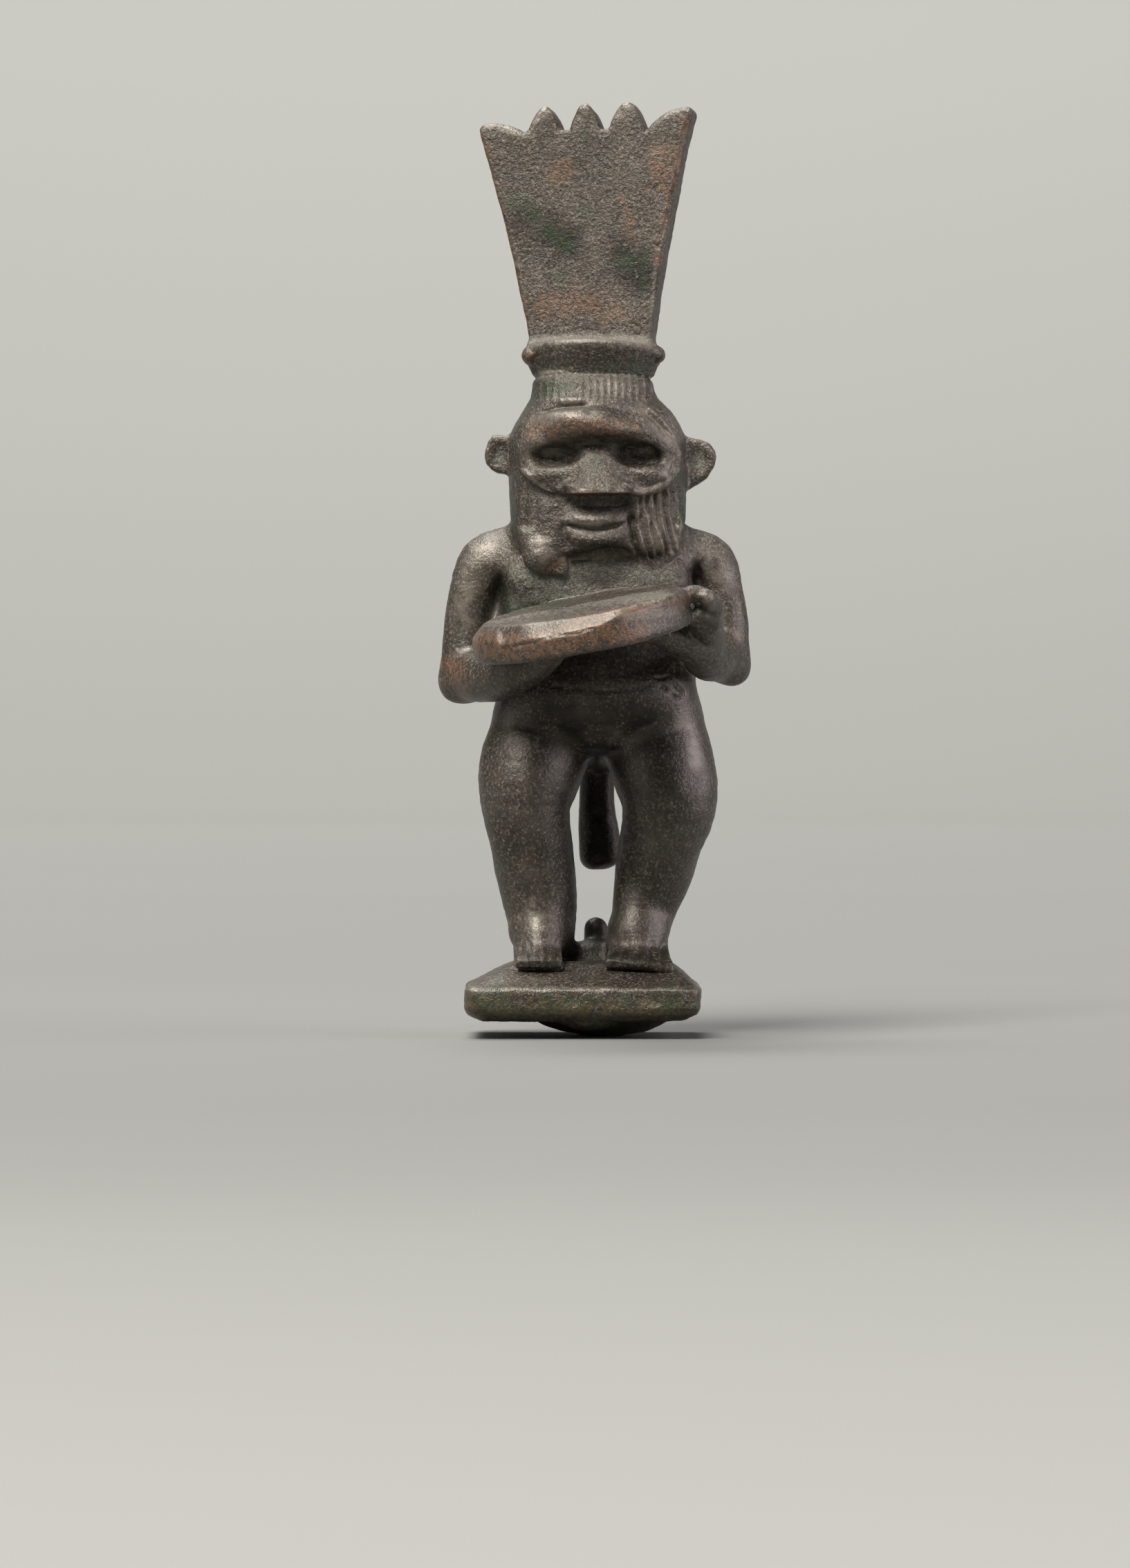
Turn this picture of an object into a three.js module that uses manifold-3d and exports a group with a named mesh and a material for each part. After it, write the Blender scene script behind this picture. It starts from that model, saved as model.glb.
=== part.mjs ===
// A small solid-cast bronze figurine of a bow-legged, lion-faced household god. He wears a tall crown of five
// plumes, holds a round frame drum before his chest and stands on a low plinth. Everything is one casting, so
// the forms below are joined into a single solid. Millimetres, +Z up. The figure faces -Y, and its own left
// is +X. The origin is on the flat underside, below the figure's axis.

import * as THREE from 'three';
import { mergeVertices } from 'three/addons/utils/BufferGeometryUtils.js';
import Module from 'manifold-3d';

const wasm = await Module();
wasm.setup();

// Heights of the main parts of the casting.
const STAND_Z = 0;
const PLINTH_Z = 1.0;
const PLINTH_EDGE_Z = 3.7;
const SOLE_Z = 5.3;
const KNEE_Z = 18.6;
const HIP_Z = 25.5;
const DRUM_Z = 33.0;
const SHOULDER_Z = 38.4;
const CHIN_Z = 39.0;
const EYE_Z = 46.5;
const BROW_Z = 48.8;
const HEAD_TOP_Z = 51.6;
const COLLAR_TOP_Z = 55.2;
const CROWN_TOP_Z = 75.0;

// Places across and along the figure, and half sizes.
const AXIS_X = 0.2;
const PLINTH = { x: -1.0, y: -1.0, half: [9.4, 7.0] };
const DRUM = { x: -1.1, y: -11.4, radius: 8.7, thick: 2.9, rise: 10.5, dip: 6 };
const CROWN = { x: -0.15, y: 0.4, thick: 3.0, turn: -9, lean: 3 };

// What differs between the god's right side, at -X, and his left. The distances "out" are from the axis.
const RIGHT = {
  side: -1,
  hip: 8.3,
  knee: { out: 5.7, half: 3.6 },
  calf: { out: 5.2, half: 3.2 },
  shin: { out: 4.65, half: 3.05 },
  ankle: { out: 4.3, half: 2.55 },
  foot: { at: [-4.5, 0.4], turn: -3, half: 1.8 },
  arm: { out: 10.0, elbow: 29.0 },
  wrist: { out: 7.2, z: 29.4 },
  hand: { out: 3.6, z: 30.6 },
  ear: { at: [-7.5, 0.0, 46.7], half: [1.7, 0.9, 1.6] },
  beard: { locks: 3, inner: 3.4, end: 37.9, curl: [1.8, 1.2, 1.6] },
};
const LEFT = {
  side: 1,
  hip: 8.7,
  knee: { out: 5.75, half: 3.8 },
  calf: { out: 4.85, half: 3.1 },
  shin: { out: 4.15, half: 2.55 },
  ankle: { out: 3.4, half: 2.4 },
  foot: { at: [3.5, 0.6], turn: 12, half: 2.5 },
  arm: { out: 9.95, elbow: 30.5 },
  wrist: { out: 7.9, z: 31.2 },
  hand: { out: 4.4, z: 32.4 },
  ear: { at: [7.9, 0.0, 46.3], half: [1.9, 0.9, 1.9] },
  beard: { locks: 6, inner: 2.9, end: 38.2, curl: [1.4, 0.9, 0.8] },
};

const radians = THREE.MathUtils.degToRad;
const vector = (p) => new THREE.Vector3(...p);
const outward = (side) => (out) => AXIS_X + side * out;

// A closed skin over rings of points, which all run anticlockwise seen from the end that the rings lead to.
function skin(rings, startTip, endTip) {
  const sides = rings[0].length;
  const points = [...rings.flat(), startTip, endTip];
  const start = points.length - 2;
  const end = points.length - 1;
  const last = (rings.length - 1) * sides;
  const faces = [];
  for (let j = 0; j < sides; j++) {
    const next = (j + 1) % sides;
    faces.push(start, next, j, end, last + j, last + next);
    for (let low = 0; low < last; low += sides) {
      const high = low + sides;
      faces.push(low + j, low + next, high + next, low + j, high + next, high + j);
    }
  }
  const geometry = new THREE.BufferGeometry().setFromPoints(points);
  geometry.setIndex(faces);
  return geometry;
}

// An upright form from flat sections. Each level has its height z, its middle, its half width and half depth,
// and how square it is: 2 is an ellipse, and more is nearer a rectangle.
function column(levels, sides = 20) {
  const ring = ({ x = AXIS_X, y, z, half, square = 2 }) =>
    Array.from({ length: sides }, (_, j) => {
      const angle = (2 * Math.PI * j) / sides;
      const bend = (v) => Math.sign(v) * Math.abs(v) ** (2 / square);
      return new THREE.Vector3(x + half[0] * bend(Math.cos(angle)), y + half[1] * bend(Math.sin(angle)), z);
    });
  const middle = ({ x = AXIS_X, y, z }) => new THREE.Vector3(x, y, z);
  return skin(levels.map(ring), middle(levels[0]), middle(levels.at(-1)));
}

// A round-ended form along a path, such as an arm or a lock of hair. Each station has its place and two half
// sizes: one towards the given side direction, and one square to it. Between stations both are smooth.
function limb(stations, { side = [1, 0, 0], sides = 10, steps = 2, ends = 0.8 } = {}) {
  const path = new THREE.CatmullRomCurve3(stations.map(({ at }) => vector(at)));
  const sizes = new THREE.CatmullRomCurve3(stations.map(({ half }) => vector([...half, 0])));
  const ring = (u, shift, shrink) => {
    const along = path.getTangent(u);
    const across = vector(side).addScaledVector(along, -vector(side).dot(along)).normalize();
    const other = new THREE.Vector3().crossVectors(along, across);
    const size = sizes.getPoint(u);
    const middle = path.getPoint(u).addScaledVector(along, shift);
    return Array.from({ length: sides }, (_, j) => {
      const angle = (2 * Math.PI * j) / sides;
      return middle
        .clone()
        .addScaledVector(across, Math.cos(angle) * size.x * shrink)
        .addScaledVector(other, Math.sin(angle) * size.y * shrink);
    });
  };
  const [startCap, endCap] = [stations[0], stations.at(-1)].map(({ half }) => Math.min(...half) * ends);
  const capTurn = radians(45);
  const count = (stations.length - 1) * steps;
  const rings = [
    ring(0, -startCap * Math.sin(capTurn), Math.cos(capTurn)),
    ...Array.from({ length: count + 1 }, (_, i) => ring(i / count, 0, 1)),
    ring(1, endCap * Math.sin(capTurn), Math.cos(capTurn)),
  ];
  const startTip = path.getPoint(0).addScaledVector(path.getTangent(0), -startCap);
  const endTip = path.getPoint(1).addScaledVector(path.getTangent(1), endCap);
  return skin(rings, startTip, endTip);
}

// A rounded lump with three half sizes, turned by degrees about X, Y and Z.
function lump(at, half, { turn = [0, 0, 0], sides = 12 } = {}) {
  return new THREE.SphereGeometry(1, sides, Math.round(sides / 2))
    .rotateX(Math.PI / 2)
    .scale(...half)
    .applyMatrix4(new THREE.Matrix4().makeRotationFromEuler(new THREE.Euler(...turn.map(radians), 'XYZ')))
    .translate(...at);
}

// A closed geometry as a solid that can be joined and cut.
function solid(geometry) {
  const plain = geometry.clone();
  plain.deleteAttribute('normal');
  plain.deleteAttribute('uv');
  const merged = mergeVertices(plain, 1e-4);
  return new wasm.Manifold(
    new wasm.Mesh({
      numProp: 3,
      vertProperties: new Float32Array(merged.attributes.position.array),
      triVerts: new Uint32Array(merged.index.array),
    }),
  );
}

// One solid from several geometries that run into each other.
function join(geometries) {
  return geometries.map(solid).reduce((joined, form) => joined.add(form));
}

// A solid back as a geometry.
function geometryOf(body) {
  const mesh = body.getMesh();
  return new THREE.BufferGeometry()
    .setAttribute('position', new THREE.BufferAttribute(new Float32Array(mesh.vertProperties), 3))
    .setIndex(new THREE.BufferAttribute(new Uint32Array(mesh.triVerts), 1));
}

// The plinth: a low slab whose top slopes up to the feet, over the worn stub of the casting's broken tang.
function plinth() {
  const { x, y, half: [wide, deep] } = PLINTH;
  const round = 0.25;
  const slab = [
    { z: PLINTH_Z, x, y, half: [wide - 4 * round, deep - 4 * round], square: 8 },
    { z: PLINTH_Z + 3 * round, x, y, half: [wide, deep], square: 12 },
    { z: PLINTH_EDGE_Z - round, x, y, half: [wide, deep], square: 14 },
    { z: PLINTH_EDGE_Z, x, y, half: [wide - round, deep - round], square: 14 },
    { z: SOLE_Z - 0.4, x: x + 0.5, y: y + 0.6, half: [wide - 2.2, deep - 2.4], square: 7 },
    { z: SOLE_Z, x: x + 0.6, y: y + 0.7, half: [wide - 2.9, deep - 3.0], square: 6 },
  ];
  const stubX = 1.2;
  const stub = [
    { z: STAND_Z, x: stubX, y, half: [4.4, 4.8], square: 3 },
    { z: STAND_Z + 0.5, x: stubX, y, half: [5.7, 5.8], square: 3 },
    { z: PLINTH_Z + 0.5, x: stubX, y, half: [6.8, 6.4], square: 4 },
  ];
  return [column(slab, 32), column(stub, 16)];
}

// One bent leg, from inside the hip down to the heel.
function leg({ side, hip, knee, calf, shin, ankle }) {
  const x = outward(side);
  const thigh = 4.1;
  return limb(
    [
      { at: [x(hip - thigh - 0.5), 1.2, HIP_Z + 1.2], half: [3.4, 3.6] },
      { at: [x(hip - thigh + 0.3), 0.6, HIP_Z - 1.3], half: [thigh, 4.5] },
      { at: [x(hip - thigh + 1.1), -0.6, 21.6], half: [thigh, 4.2] },
      { at: [x(knee.out), -1.8, KNEE_Z], half: [knee.half, 3.4] },
      { at: [x(calf.out), -0.7, 14.8], half: [calf.half, 3.2] },
      { at: [x(shin.out), 0.1, 11.2], half: [shin.half, 2.9] },
      { at: [x(ankle.out), 0.4, 8.2], half: [ankle.half, 2.6] },
      { at: [x(ankle.out), 0.6, SOLE_Z], half: [ankle.half, 2.9] },
    ],
    { sides: 14, steps: 1, ends: 0.4 },
  );
}

// One foot, with its toes side by side along the front of the sole.
function foot({ foot: { at, turn, half } }) {
  const length = 5.4;
  const toes = 5;
  const instep = limb(
    [
      { at: [0, 0.6, 1.9], half: [half * 0.95, 1.9] },
      { at: [0, -2.4, 1.1], half: [half * 0.95, 1.3] },
      { at: [0, 0.7 - length, 0.5], half: [half, 0.55] },
    ],
    { sides: 12, ends: 0.5 },
  );
  const toe = (2 * half) / toes;
  const row = Array.from({ length: toes }, (_, i) => {
    const fromMiddle = i - (toes - 1) / 2;
    const back = 0.15 * Math.abs(fromMiddle);
    return lump([fromMiddle * toe, 0.3 + back - length, 0.5], [toe * 0.5, 1.1, 0.5], { sides: 6 });
  });
  return [instep, ...row].map((part) => part.rotateZ(radians(turn)).translate(...at, SOLE_Z));
}

// The trunk, from the loins up to the shoulders.
function trunk() {
  const body = [
    { z: 22.5, y: 0.8, half: [2.6, 3.0] },
    { z: 23.8, y: 0.6, half: [6.0, 4.4], square: 2.3 },
    { z: HIP_Z, y: 0.3, half: [7.9, 5.0], square: 2.4 },
    { z: 28.2, y: -0.1, half: [7.8, 4.9], square: 2.4 },
    { z: 31.5, y: 0.0, half: [8.2, 4.5], square: 2.2 },
    { z: 35.5, y: 0.1, half: [8.5, 4.2], square: 2.3 },
    { z: SHOULDER_Z, y: 0.4, half: [8.7, 4.1], square: 2.5 },
    { z: SHOULDER_Z + 2.0, y: 0.7, half: [7.8, 3.6], square: 2.4 },
    { z: SHOULDER_Z + 3.0, y: 0.9, half: [6.2, 3.0], square: 2.4 },
  ];
  const belly = lump([AXIS_X, -2.5, 27.2], [6.3, 3.3, 3.7], { sides: 14 });
  const groin = lump([AXIS_X + 0.4, -3.3, 23.9], [1.8, 1.3, 1.1], { sides: 8 });
  const buttock = (side) => lump([AXIS_X + side * 3.2, 2.6, 25.0], [3.9, 3.5, 3.8], { sides: 10 });
  return [column(body, 20), belly, groin, buttock(-1), buttock(1)];
}

// One arm, hanging from the shoulder to the bent elbow and then forward, with the hand under the drum.
function arm({ side, arm: { out, elbow }, wrist, hand }) {
  const x = outward(side);
  const upper = limb(
    [
      { at: [x(6.6), 0.8, SHOULDER_Z + 0.3], half: [2.2, 2.6] },
      { at: [x(8.8), 0.6, SHOULDER_Z - 0.6], half: [2.2, 2.5] },
      { at: [x(out), 0.4, 35.0], half: [1.95, 2.2] },
      { at: [x(out + 0.4), 0.3, elbow + 2.4], half: [2.0, 2.2] },
      { at: [x(out + 0.3), 0.1, elbow], half: [2.1, 2.2] },
    ],
    { sides: 12 },
  );
  const fore = limb(
    [
      { at: [x(out + 0.2), 0.1, elbow], half: [2.0, 2.1] },
      { at: [x(out - 1.0), -3.2, elbow], half: [2.0, 2.0] },
      { at: [x(wrist.out), -6.6, wrist.z], half: [1.6, 1.6] },
      { at: [x(hand.out + 1.2), -8.9, hand.z - 0.2], half: [1.5, 1.1] },
      { at: [x(hand.out), -10.4, hand.z], half: [1.6, 0.8] },
    ],
    { sides: 12 },
  );
  return [upper, fore];
}

// The god's left hand, whose palm and thumb also grip the drum's rim.
function grip() {
  const palm = lump([8.5, -9.6, 33.6], [1.15, 1.7, 2.1], { turn: [0, 10, 0] });
  const thumb = limb(
    [
      { at: [9.3, -8.8, 33.4], half: [0.7, 0.7] },
      { at: [9.1, -9.4, 35.0], half: [0.65, 0.65] },
      { at: [7.8, -10.2, 35.8], half: [0.6, 0.55] },
    ],
    { side: [0, 1, 0], sides: 8 },
  );
  return [palm, thumb];
}

// The round frame drum, higher on the god's left and tipped forward a little.
function drum() {
  const round = 0.85;
  const half = DRUM.thick / 2;
  const section = new THREE.Path();
  section.moveTo(0, -half);
  section.lineTo(DRUM.radius - round, -half);
  section.quadraticCurveTo(DRUM.radius, -half, DRUM.radius, -half + round);
  section.lineTo(DRUM.radius, half - round);
  section.quadraticCurveTo(DRUM.radius, half, DRUM.radius - round, half);
  section.lineTo(0, half);
  return new THREE.LatheGeometry(section.getPoints(2), 36)
    .rotateX(radians(90 + DRUM.dip))
    .rotateY(radians(-DRUM.rise))
    .translate(DRUM.x, DRUM.y, DRUM_Z);
}

// The head as a blunt block from the beard to the hair under the collar, and the mane down the nape.
function skull() {
  const block = [
    { z: 37.8, y: -0.8, half: [5.4, 3.8], square: 2.4 },
    { z: CHIN_Z, y: -0.9, half: [6.6, 4.7], square: 2.6 },
    { z: 41.5, y: -0.6, half: [6.95, 5.2], square: 2.7 },
    { z: 45.0, y: -0.2, half: [7.0, 5.8], square: 2.7 },
    { z: 48.0, y: 0.0, half: [7.0, 6.1], square: 2.6 },
    { z: 49.7, y: 0.2, half: [6.2, 5.9], square: 2.5 },
    { z: 50.7, x: 0.05, y: 0.3, half: [5.5, 5.2], square: 2.4 },
    { z: HEAD_TOP_Z, x: -0.1, y: 0.3, half: [5.0, 4.5], square: 2.3 },
    { z: 53.2, x: -0.25, y: 0.4, half: [4.7, 4.2], square: 2.3 },
  ];
  const mane = [
    { z: 36.0, y: 2.6, half: [5.0, 2.2] },
    { z: 37.4, y: 2.6, half: [6.2, 3.2], square: 2.4 },
    { z: 42.0, y: 2.2, half: [6.8, 4.1], square: 2.4 },
    { z: 47.0, y: 1.6, half: [6.8, 4.7], square: 2.4 },
    { z: 50.4, y: 1.0, half: [5.6, 4.6], square: 2.4 },
  ];
  const brow = limb(
    [
      { at: [-6.2, -3.2, 46.9], half: [0.7, 0.8] },
      { at: [-4.4, -5.1, BROW_Z - 0.1], half: [0.9, 1.2] },
      { at: [0.2, -6.0, BROW_Z], half: [1.0, 1.4] },
      { at: [4.8, -5.1, BROW_Z - 0.1], half: [0.9, 1.2] },
      { at: [6.6, -3.2, 46.8], half: [0.7, 0.8] },
    ],
    { side: [0, 1, 0], sides: 8 },
  );
  return [column(block, 20), column(mane, 16), brow];
}

// The lion's mask on the head: sunken eyes, a broad nose, cheek ridges and a wide mouth.
function mask() {
  const nose = limb(
    [
      { at: [0.2, -5.3, 47.4], half: [1.2, 0.7] },
      { at: [0.3, -6.2, 45.7], half: [1.7, 1.1] },
      { at: [0.35, -6.9, 44.1], half: [2.4, 1.1] },
    ],
    { sides: 10, ends: 0.6 },
  );
  const parts = [nose];
  for (const side of [-1, 1]) {
    const x = outward(side);
    const cheek = [
      { at: [x(6.3), -3.3, 46.4], half: [0.5, 0.55] },
      { at: [x(5.6), -4.5, 44.8], half: [0.5, 0.55] },
      { at: [x(3.8), -5.6, 43.6], half: [0.5, 0.6] },
      { at: [x(2.0), -6.4, 43.8], half: [0.7, 0.7] },
    ];
    parts.push(limb(cheek, { side: [0, 1, 0], sides: 6, steps: 1 }));
    parts.push(lump([x(3.7), -4.7, EYE_Z], [1.7, 0.9, 0.7], { sides: 10 }));
  }
  const mouthX = AXIS_X - 0.3;
  const lip = (z, out, thick) => {
    const corner = (side) => ({ at: [mouthX + side * out, -5.4, z + 0.35], half: [0.5, 0.8 * thick] });
    return limb([corner(-1), { at: [mouthX, -6.6, z], half: [0.7, thick] }, corner(1)], {
      side: [0, 1, 0],
      sides: 8,
    });
  };
  const muzzle = lump([mouthX, -4.6, 41.4], [3.2, 1.7, 2.3], { sides: 10 });
  return [...parts, muzzle, lip(41.2, 2.5, 0.6), lip(39.8, 2.0, 0.7)];
}

// A hollow above each cheek for the eye.
function sockets() {
  return [-1, 1].map((side) => lump([AXIS_X + side * 3.7, -6.3, EYE_Z], [2.3, 1.5, 1.2], { sides: 12 }));
}

// Half of the beard: locks that fall from the cheek beside the mouth and run together at the end.
function beard({ side, beard: { locks, inner, end, curl } }) {
  const outer = 6.3;
  const strands = Array.from({ length: locks }, (_, i) => {
    const u = i / (locks - 1);
    const out = THREE.MathUtils.lerp(inner, outer, u);
    const y = -THREE.MathUtils.lerp(5.25, 3.3, u * u);
    const bottom = end + 0.4 * u;
    const spots = [
      [out - 0.2, 43.4 + 0.9 * u],
      [out + 0.15, 40.7],
      [out + 0.1, bottom],
    ];
    const stations = spots.map(([x, z]) => ({ at: [outward(side)(x), y, z], half: [0.38, 0.6] }));
    return limb(stations, { sides: 6, steps: 1 });
  });
  const ends = lump([outward(side)(4.5), -4.6, end + 0.5], curl, { turn: [0, side * -25, 0], sides: 10 });
  return [...strands, ends];
}

// A round lion's ear with its hollow facing forward.
function ear({ ear: { at, half } }) {
  const hollow = lump([at[0], at[1] - half[1], at[2]], [half[0] * 0.6, half[1] * 0.75, half[2] * 0.6], { sides: 8 });
  return solid(lump(at, half, { sides: 12 })).subtract(solid(hollow));
}

// Puts a piece of the headdress on the head, with the turn and lean of the whole headdress.
function onHead(geometry, z) {
  return geometry.rotateX(radians(-CROWN.lean)).rotateZ(radians(CROWN.turn)).translate(CROWN.x, CROWN.y, z);
}

// The fluted collar on the head, which flares to a rim under the crown.
function collar() {
  const flutes = 20;
  const fluteDepth = 0.12;
  const tall = COLLAR_TOP_Z - HEAD_TOP_Z;
  const levels = [
    { z: 0.7, half: [4.75, 4.2] },
    { z: 1.2, half: [5.0, 4.5] },
    { z: tall - 0.8, half: [5.65, 5.0] },
    { z: tall - 0.2, half: [5.7, 5.05] },
    { z: tall, half: [5.4, 4.7] },
  ];
  const rings = levels.map(({ z, half: [wide, deep] }) =>
    Array.from({ length: 2 * flutes }, (_, j) => {
      const angle = (Math.PI * j) / flutes;
      const cut = j % 2 ? fluteDepth : 0;
      return new THREE.Vector3((wide - cut) * Math.cos(angle), (deep - cut) * Math.sin(angle), z);
    }),
  );
  const [foot, top] = [levels[0].z, tall].map((z) => new THREE.Vector3(0, 0, z));
  return onHead(skin(rings, foot, top), HEAD_TOP_Z);
}

// The crown: a flat fan that ends in five plumes, pointed in the middle and blunt at the corners.
function crown() {
  const foot = COLLAR_TOP_Z - 0.8;
  const tall = CROWN_TOP_Z - foot;
  const halfPlume = 1.25;
  const fan = new THREE.Shape();
  fan.moveTo(-4.9, 0);
  fan.lineTo(4.7, 0);
  fan.quadraticCurveTo(5.7, 0.5 * tall, 7.85, tall - 1.6);
  fan.quadraticCurveTo(8.0, tall - 0.7, 7.1, tall - 0.75);
  fan.quadraticCurveTo(5.6, tall - 0.8, 4.6, tall - 2.3);
  [2.7, -0.75, -4.1].forEach((x, i) => {
    const top = tall - 0.1 * i;
    const valley = top - 1.9;
    fan.lineTo(x + halfPlume, valley);
    fan.quadraticCurveTo(x + 0.6, top - 0.1, x, top);
    fan.quadraticCurveTo(x - 0.6, top - 0.1, x - halfPlume, valley);
  });
  fan.lineTo(-5.9, tall - 2.5);
  fan.quadraticCurveTo(-7.0, tall - 1.7, -8.7, tall - 1.6);
  fan.quadraticCurveTo(-9.5, tall - 1.6, -9.3, tall - 2.6);
  fan.quadraticCurveTo(-7.0, 0.5 * tall, -4.9, 0);
  const bevel = 0.3;
  const plate = new THREE.ExtrudeGeometry(fan, {
    depth: CROWN.thick - 2 * bevel,
    bevelThickness: bevel,
    bevelSize: bevel,
    bevelOffset: -bevel,
    bevelSegments: 1,
    curveSegments: 3,
  });
  return onHead(plate.translate(0, 0, bevel - CROWN.thick / 2).rotateX(Math.PI / 2), foot);
}

// The lion's tail down the back, broken off above the short stump that is left on the plinth.
function tail() {
  const x = AXIS_X + 0.25;
  const hanging = limb(
    [
      { at: [x, 4.4, 27.5], half: [1.3, 1.2] },
      { at: [x, 6.0, 24.5], half: [1.5, 1.3] },
      { at: [x, 5.6, 19.5], half: [1.65, 1.3] },
      { at: [x, 5.2, 14.3], half: [1.65, 1.3] },
    ],
    { sides: 10 },
  );
  const stump = limb(
    [
      { at: [0.1, 3.6, 4.6], half: [1.1, 1.1] },
      { at: [0.1, 4.0, 6.6], half: [0.95, 0.95] },
      { at: [0.1, 4.2, 8.5], half: [0.93, 0.93] },
    ],
    { steps: 1 },
  );
  return [hanging, stump];
}

function figurine() {
  const head = join([...skull(), ...[RIGHT, LEFT].flatMap(beard)]).subtract(join(sockets()));
  const halves = [RIGHT, LEFT].flatMap((half) => [leg(half), ...foot(half), ...arm(half)]);
  const body = join([...plinth(), ...trunk(), ...halves, ...grip(), drum(), ...mask(), collar(), crown(), ...tail()]);
  const whole = body.add(head).add(ear(RIGHT)).add(ear(LEFT));
  const bronze = new THREE.MeshStandardMaterial({ color: '#3a302b', roughness: 0.5, metalness: 0.75 });
  const mesh = new THREE.Mesh(geometryOf(whole), bronze);
  mesh.name = 'figurine';
  return mesh;
}

const group = new THREE.Group();
group.add(figurine());
export default group;
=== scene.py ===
import math

import bpy
import numpy as np
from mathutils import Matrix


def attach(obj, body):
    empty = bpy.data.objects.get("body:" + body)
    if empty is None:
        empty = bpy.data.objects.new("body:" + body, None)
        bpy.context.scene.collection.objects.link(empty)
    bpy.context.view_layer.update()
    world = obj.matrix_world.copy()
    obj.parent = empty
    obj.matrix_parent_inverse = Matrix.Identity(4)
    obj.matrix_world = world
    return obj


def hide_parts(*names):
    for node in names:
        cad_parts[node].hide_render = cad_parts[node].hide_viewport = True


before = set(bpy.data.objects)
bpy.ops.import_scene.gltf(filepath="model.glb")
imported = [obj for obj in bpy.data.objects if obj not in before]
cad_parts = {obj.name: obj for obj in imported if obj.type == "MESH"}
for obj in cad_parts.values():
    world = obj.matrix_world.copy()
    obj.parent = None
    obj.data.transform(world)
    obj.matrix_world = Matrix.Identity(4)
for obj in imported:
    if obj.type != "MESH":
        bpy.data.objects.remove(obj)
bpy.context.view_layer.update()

import openvdb
from mathutils import Euler, Vector

# The figurine is sculpted in millimetres, in the frame of the solid that it replaces. It faces -Y.
MM = 0.001
STEP = 0.11
REACH = 1.6
CLAY_LOW, CLAY_HIGH = (-13.6, -21.4, -0.6), (13.8, 8.6, 76.2)
TRIANGLES = 190_000

# Heights of the main parts.
PLINTH_Z = 4.2
SOLE_Z = 5.7
KNEE_Z = 18.6
HIP_Z = 25.5
DRUM_Z = 33.0
SHOULDER_Z = 38.4
EYE_Z = 46.5
HEAD_TOP_Z = 51.6
COLLAR_TOP_Z = 55.2
CROWN_TOP_Z = 75.0

# Places across and along the figure.
AXIS_X = 0.2
DRUM_X, DRUM_Y, DRUM_RADIUS, DRUM_HALF = -1.1, -11.4, 8.7, 1.45
DRUM_TURN = (6.0, -10.5, 0.0)
CROWN_X, CROWN_Y, CROWN_HALF = -0.15, 0.4, 1.5
CROWN_TURN = (-3.0, 0.0, -9.0)


# Helpers for smooth forms.

def smooth_min(a, b, blend):
    near = np.maximum(blend - np.abs(a - b), 0) / blend
    return np.minimum(a, b) - near * near * blend / 4


def smooth_max(a, b, blend):
    return -smooth_min(-a, -b, blend)


def smooth_path(rows, steps):
    """More rows between the given ones, on a smooth curve through them in every column."""
    rows = np.array(rows, np.float32)
    before = np.vstack([2 * rows[0] - rows[1], rows[:-1]])[:-1]
    after = np.vstack([rows[1:], 2 * rows[-1] - rows[-2]])[1:]
    made = [rows[:1]]
    for i in range(1, steps + 1):
        t = i / steps
        slope_start = (rows[1:] - before) / 2
        slope_end = (after - rows[:-1]) / 2
        span = (
            (2 * t**3 - 3 * t**2 + 1) * rows[:-1]
            + (t**3 - 2 * t**2 + t) * slope_start
            + (3 * t**2 - 2 * t**3) * rows[1:]
            + (t**3 - t**2) * slope_end
        )
        made.append(span)
    between = np.stack(made[1:], axis=1).reshape(-1, rows.shape[1])
    return np.vstack([rows[:1], between]).astype(np.float32)


def axes_of(turn):
    """The local axes of something turned by degrees about X, Y and Z, as the columns of an array."""
    return np.array(Euler([math.radians(a) for a in turn]).to_matrix(), np.float32)


def to_local(x, y, z, at, axes):
    offset = (x - at[0], y - at[1], z - at[2])
    return [sum(axes[i][j] * offset[i] for i in range(3)) for j in range(3)]


def line_distance(line, u, v):
    """Distance in a plane to a line of points, and how far along it the nearest point is, from 0 to 1."""
    best = np.full(np.broadcast(u, v).shape, 1e3, np.float32)
    along = np.zeros_like(best)
    spans = len(line) - 1
    for i in range(spans):
        (au, av), (bu, bv) = line[i][:2], line[i + 1][:2]
        du, dv = bu - au, bv - av
        t = np.clip(((u - au) * du + (v - av) * dv) / max(du * du + dv * dv, 1e-9), 0, 1)
        gap = np.hypot(u - au - t * du, v - av - t * dv)
        closer = gap < best
        best = np.where(closer, gap, best)
        along = np.where(closer, (i + t) / spans, along)
    return best, along


def outline_distance(outline, u, v):
    """Distance in a plane to a closed outline, negative inside it."""
    closed = list(outline) + [outline[0]]
    gap, _ = line_distance(closed, u, v)
    inside = np.zeros(gap.shape, bool)
    for (au, av), (bu, bv) in zip(closed[:-1], closed[1:]):
        rise = bv - av if bv != av else 1e-9
        inside ^= ((av > v) != (bv > v)) & (u < (bu - au) * (v - av) / rise + au)
    return np.where(inside, -gap, gap)


def curve(start, control, end, steps=6):
    """Points on a curve from a start, which is left out, to an end, drawn towards a control point."""
    t = np.linspace(0, 1, steps + 1)[1:, None]
    start, control, end = np.array(start), np.array(control), np.array(end)
    return [tuple(p) for p in (1 - t) ** 2 * start + 2 * t * (1 - t) * control + t * t * end]


def rounded(out, up, rounding):
    """Distance to a rounded edge, from how far a point is out of the outline and above the face."""
    out, up = out + rounding, up + rounding
    return np.hypot(np.maximum(out, 0), np.maximum(up, 0)) + np.minimum(np.maximum(out, up), 0) - rounding


# Forms. Each one is its lowest corner, its highest corner and its distance function.

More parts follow.
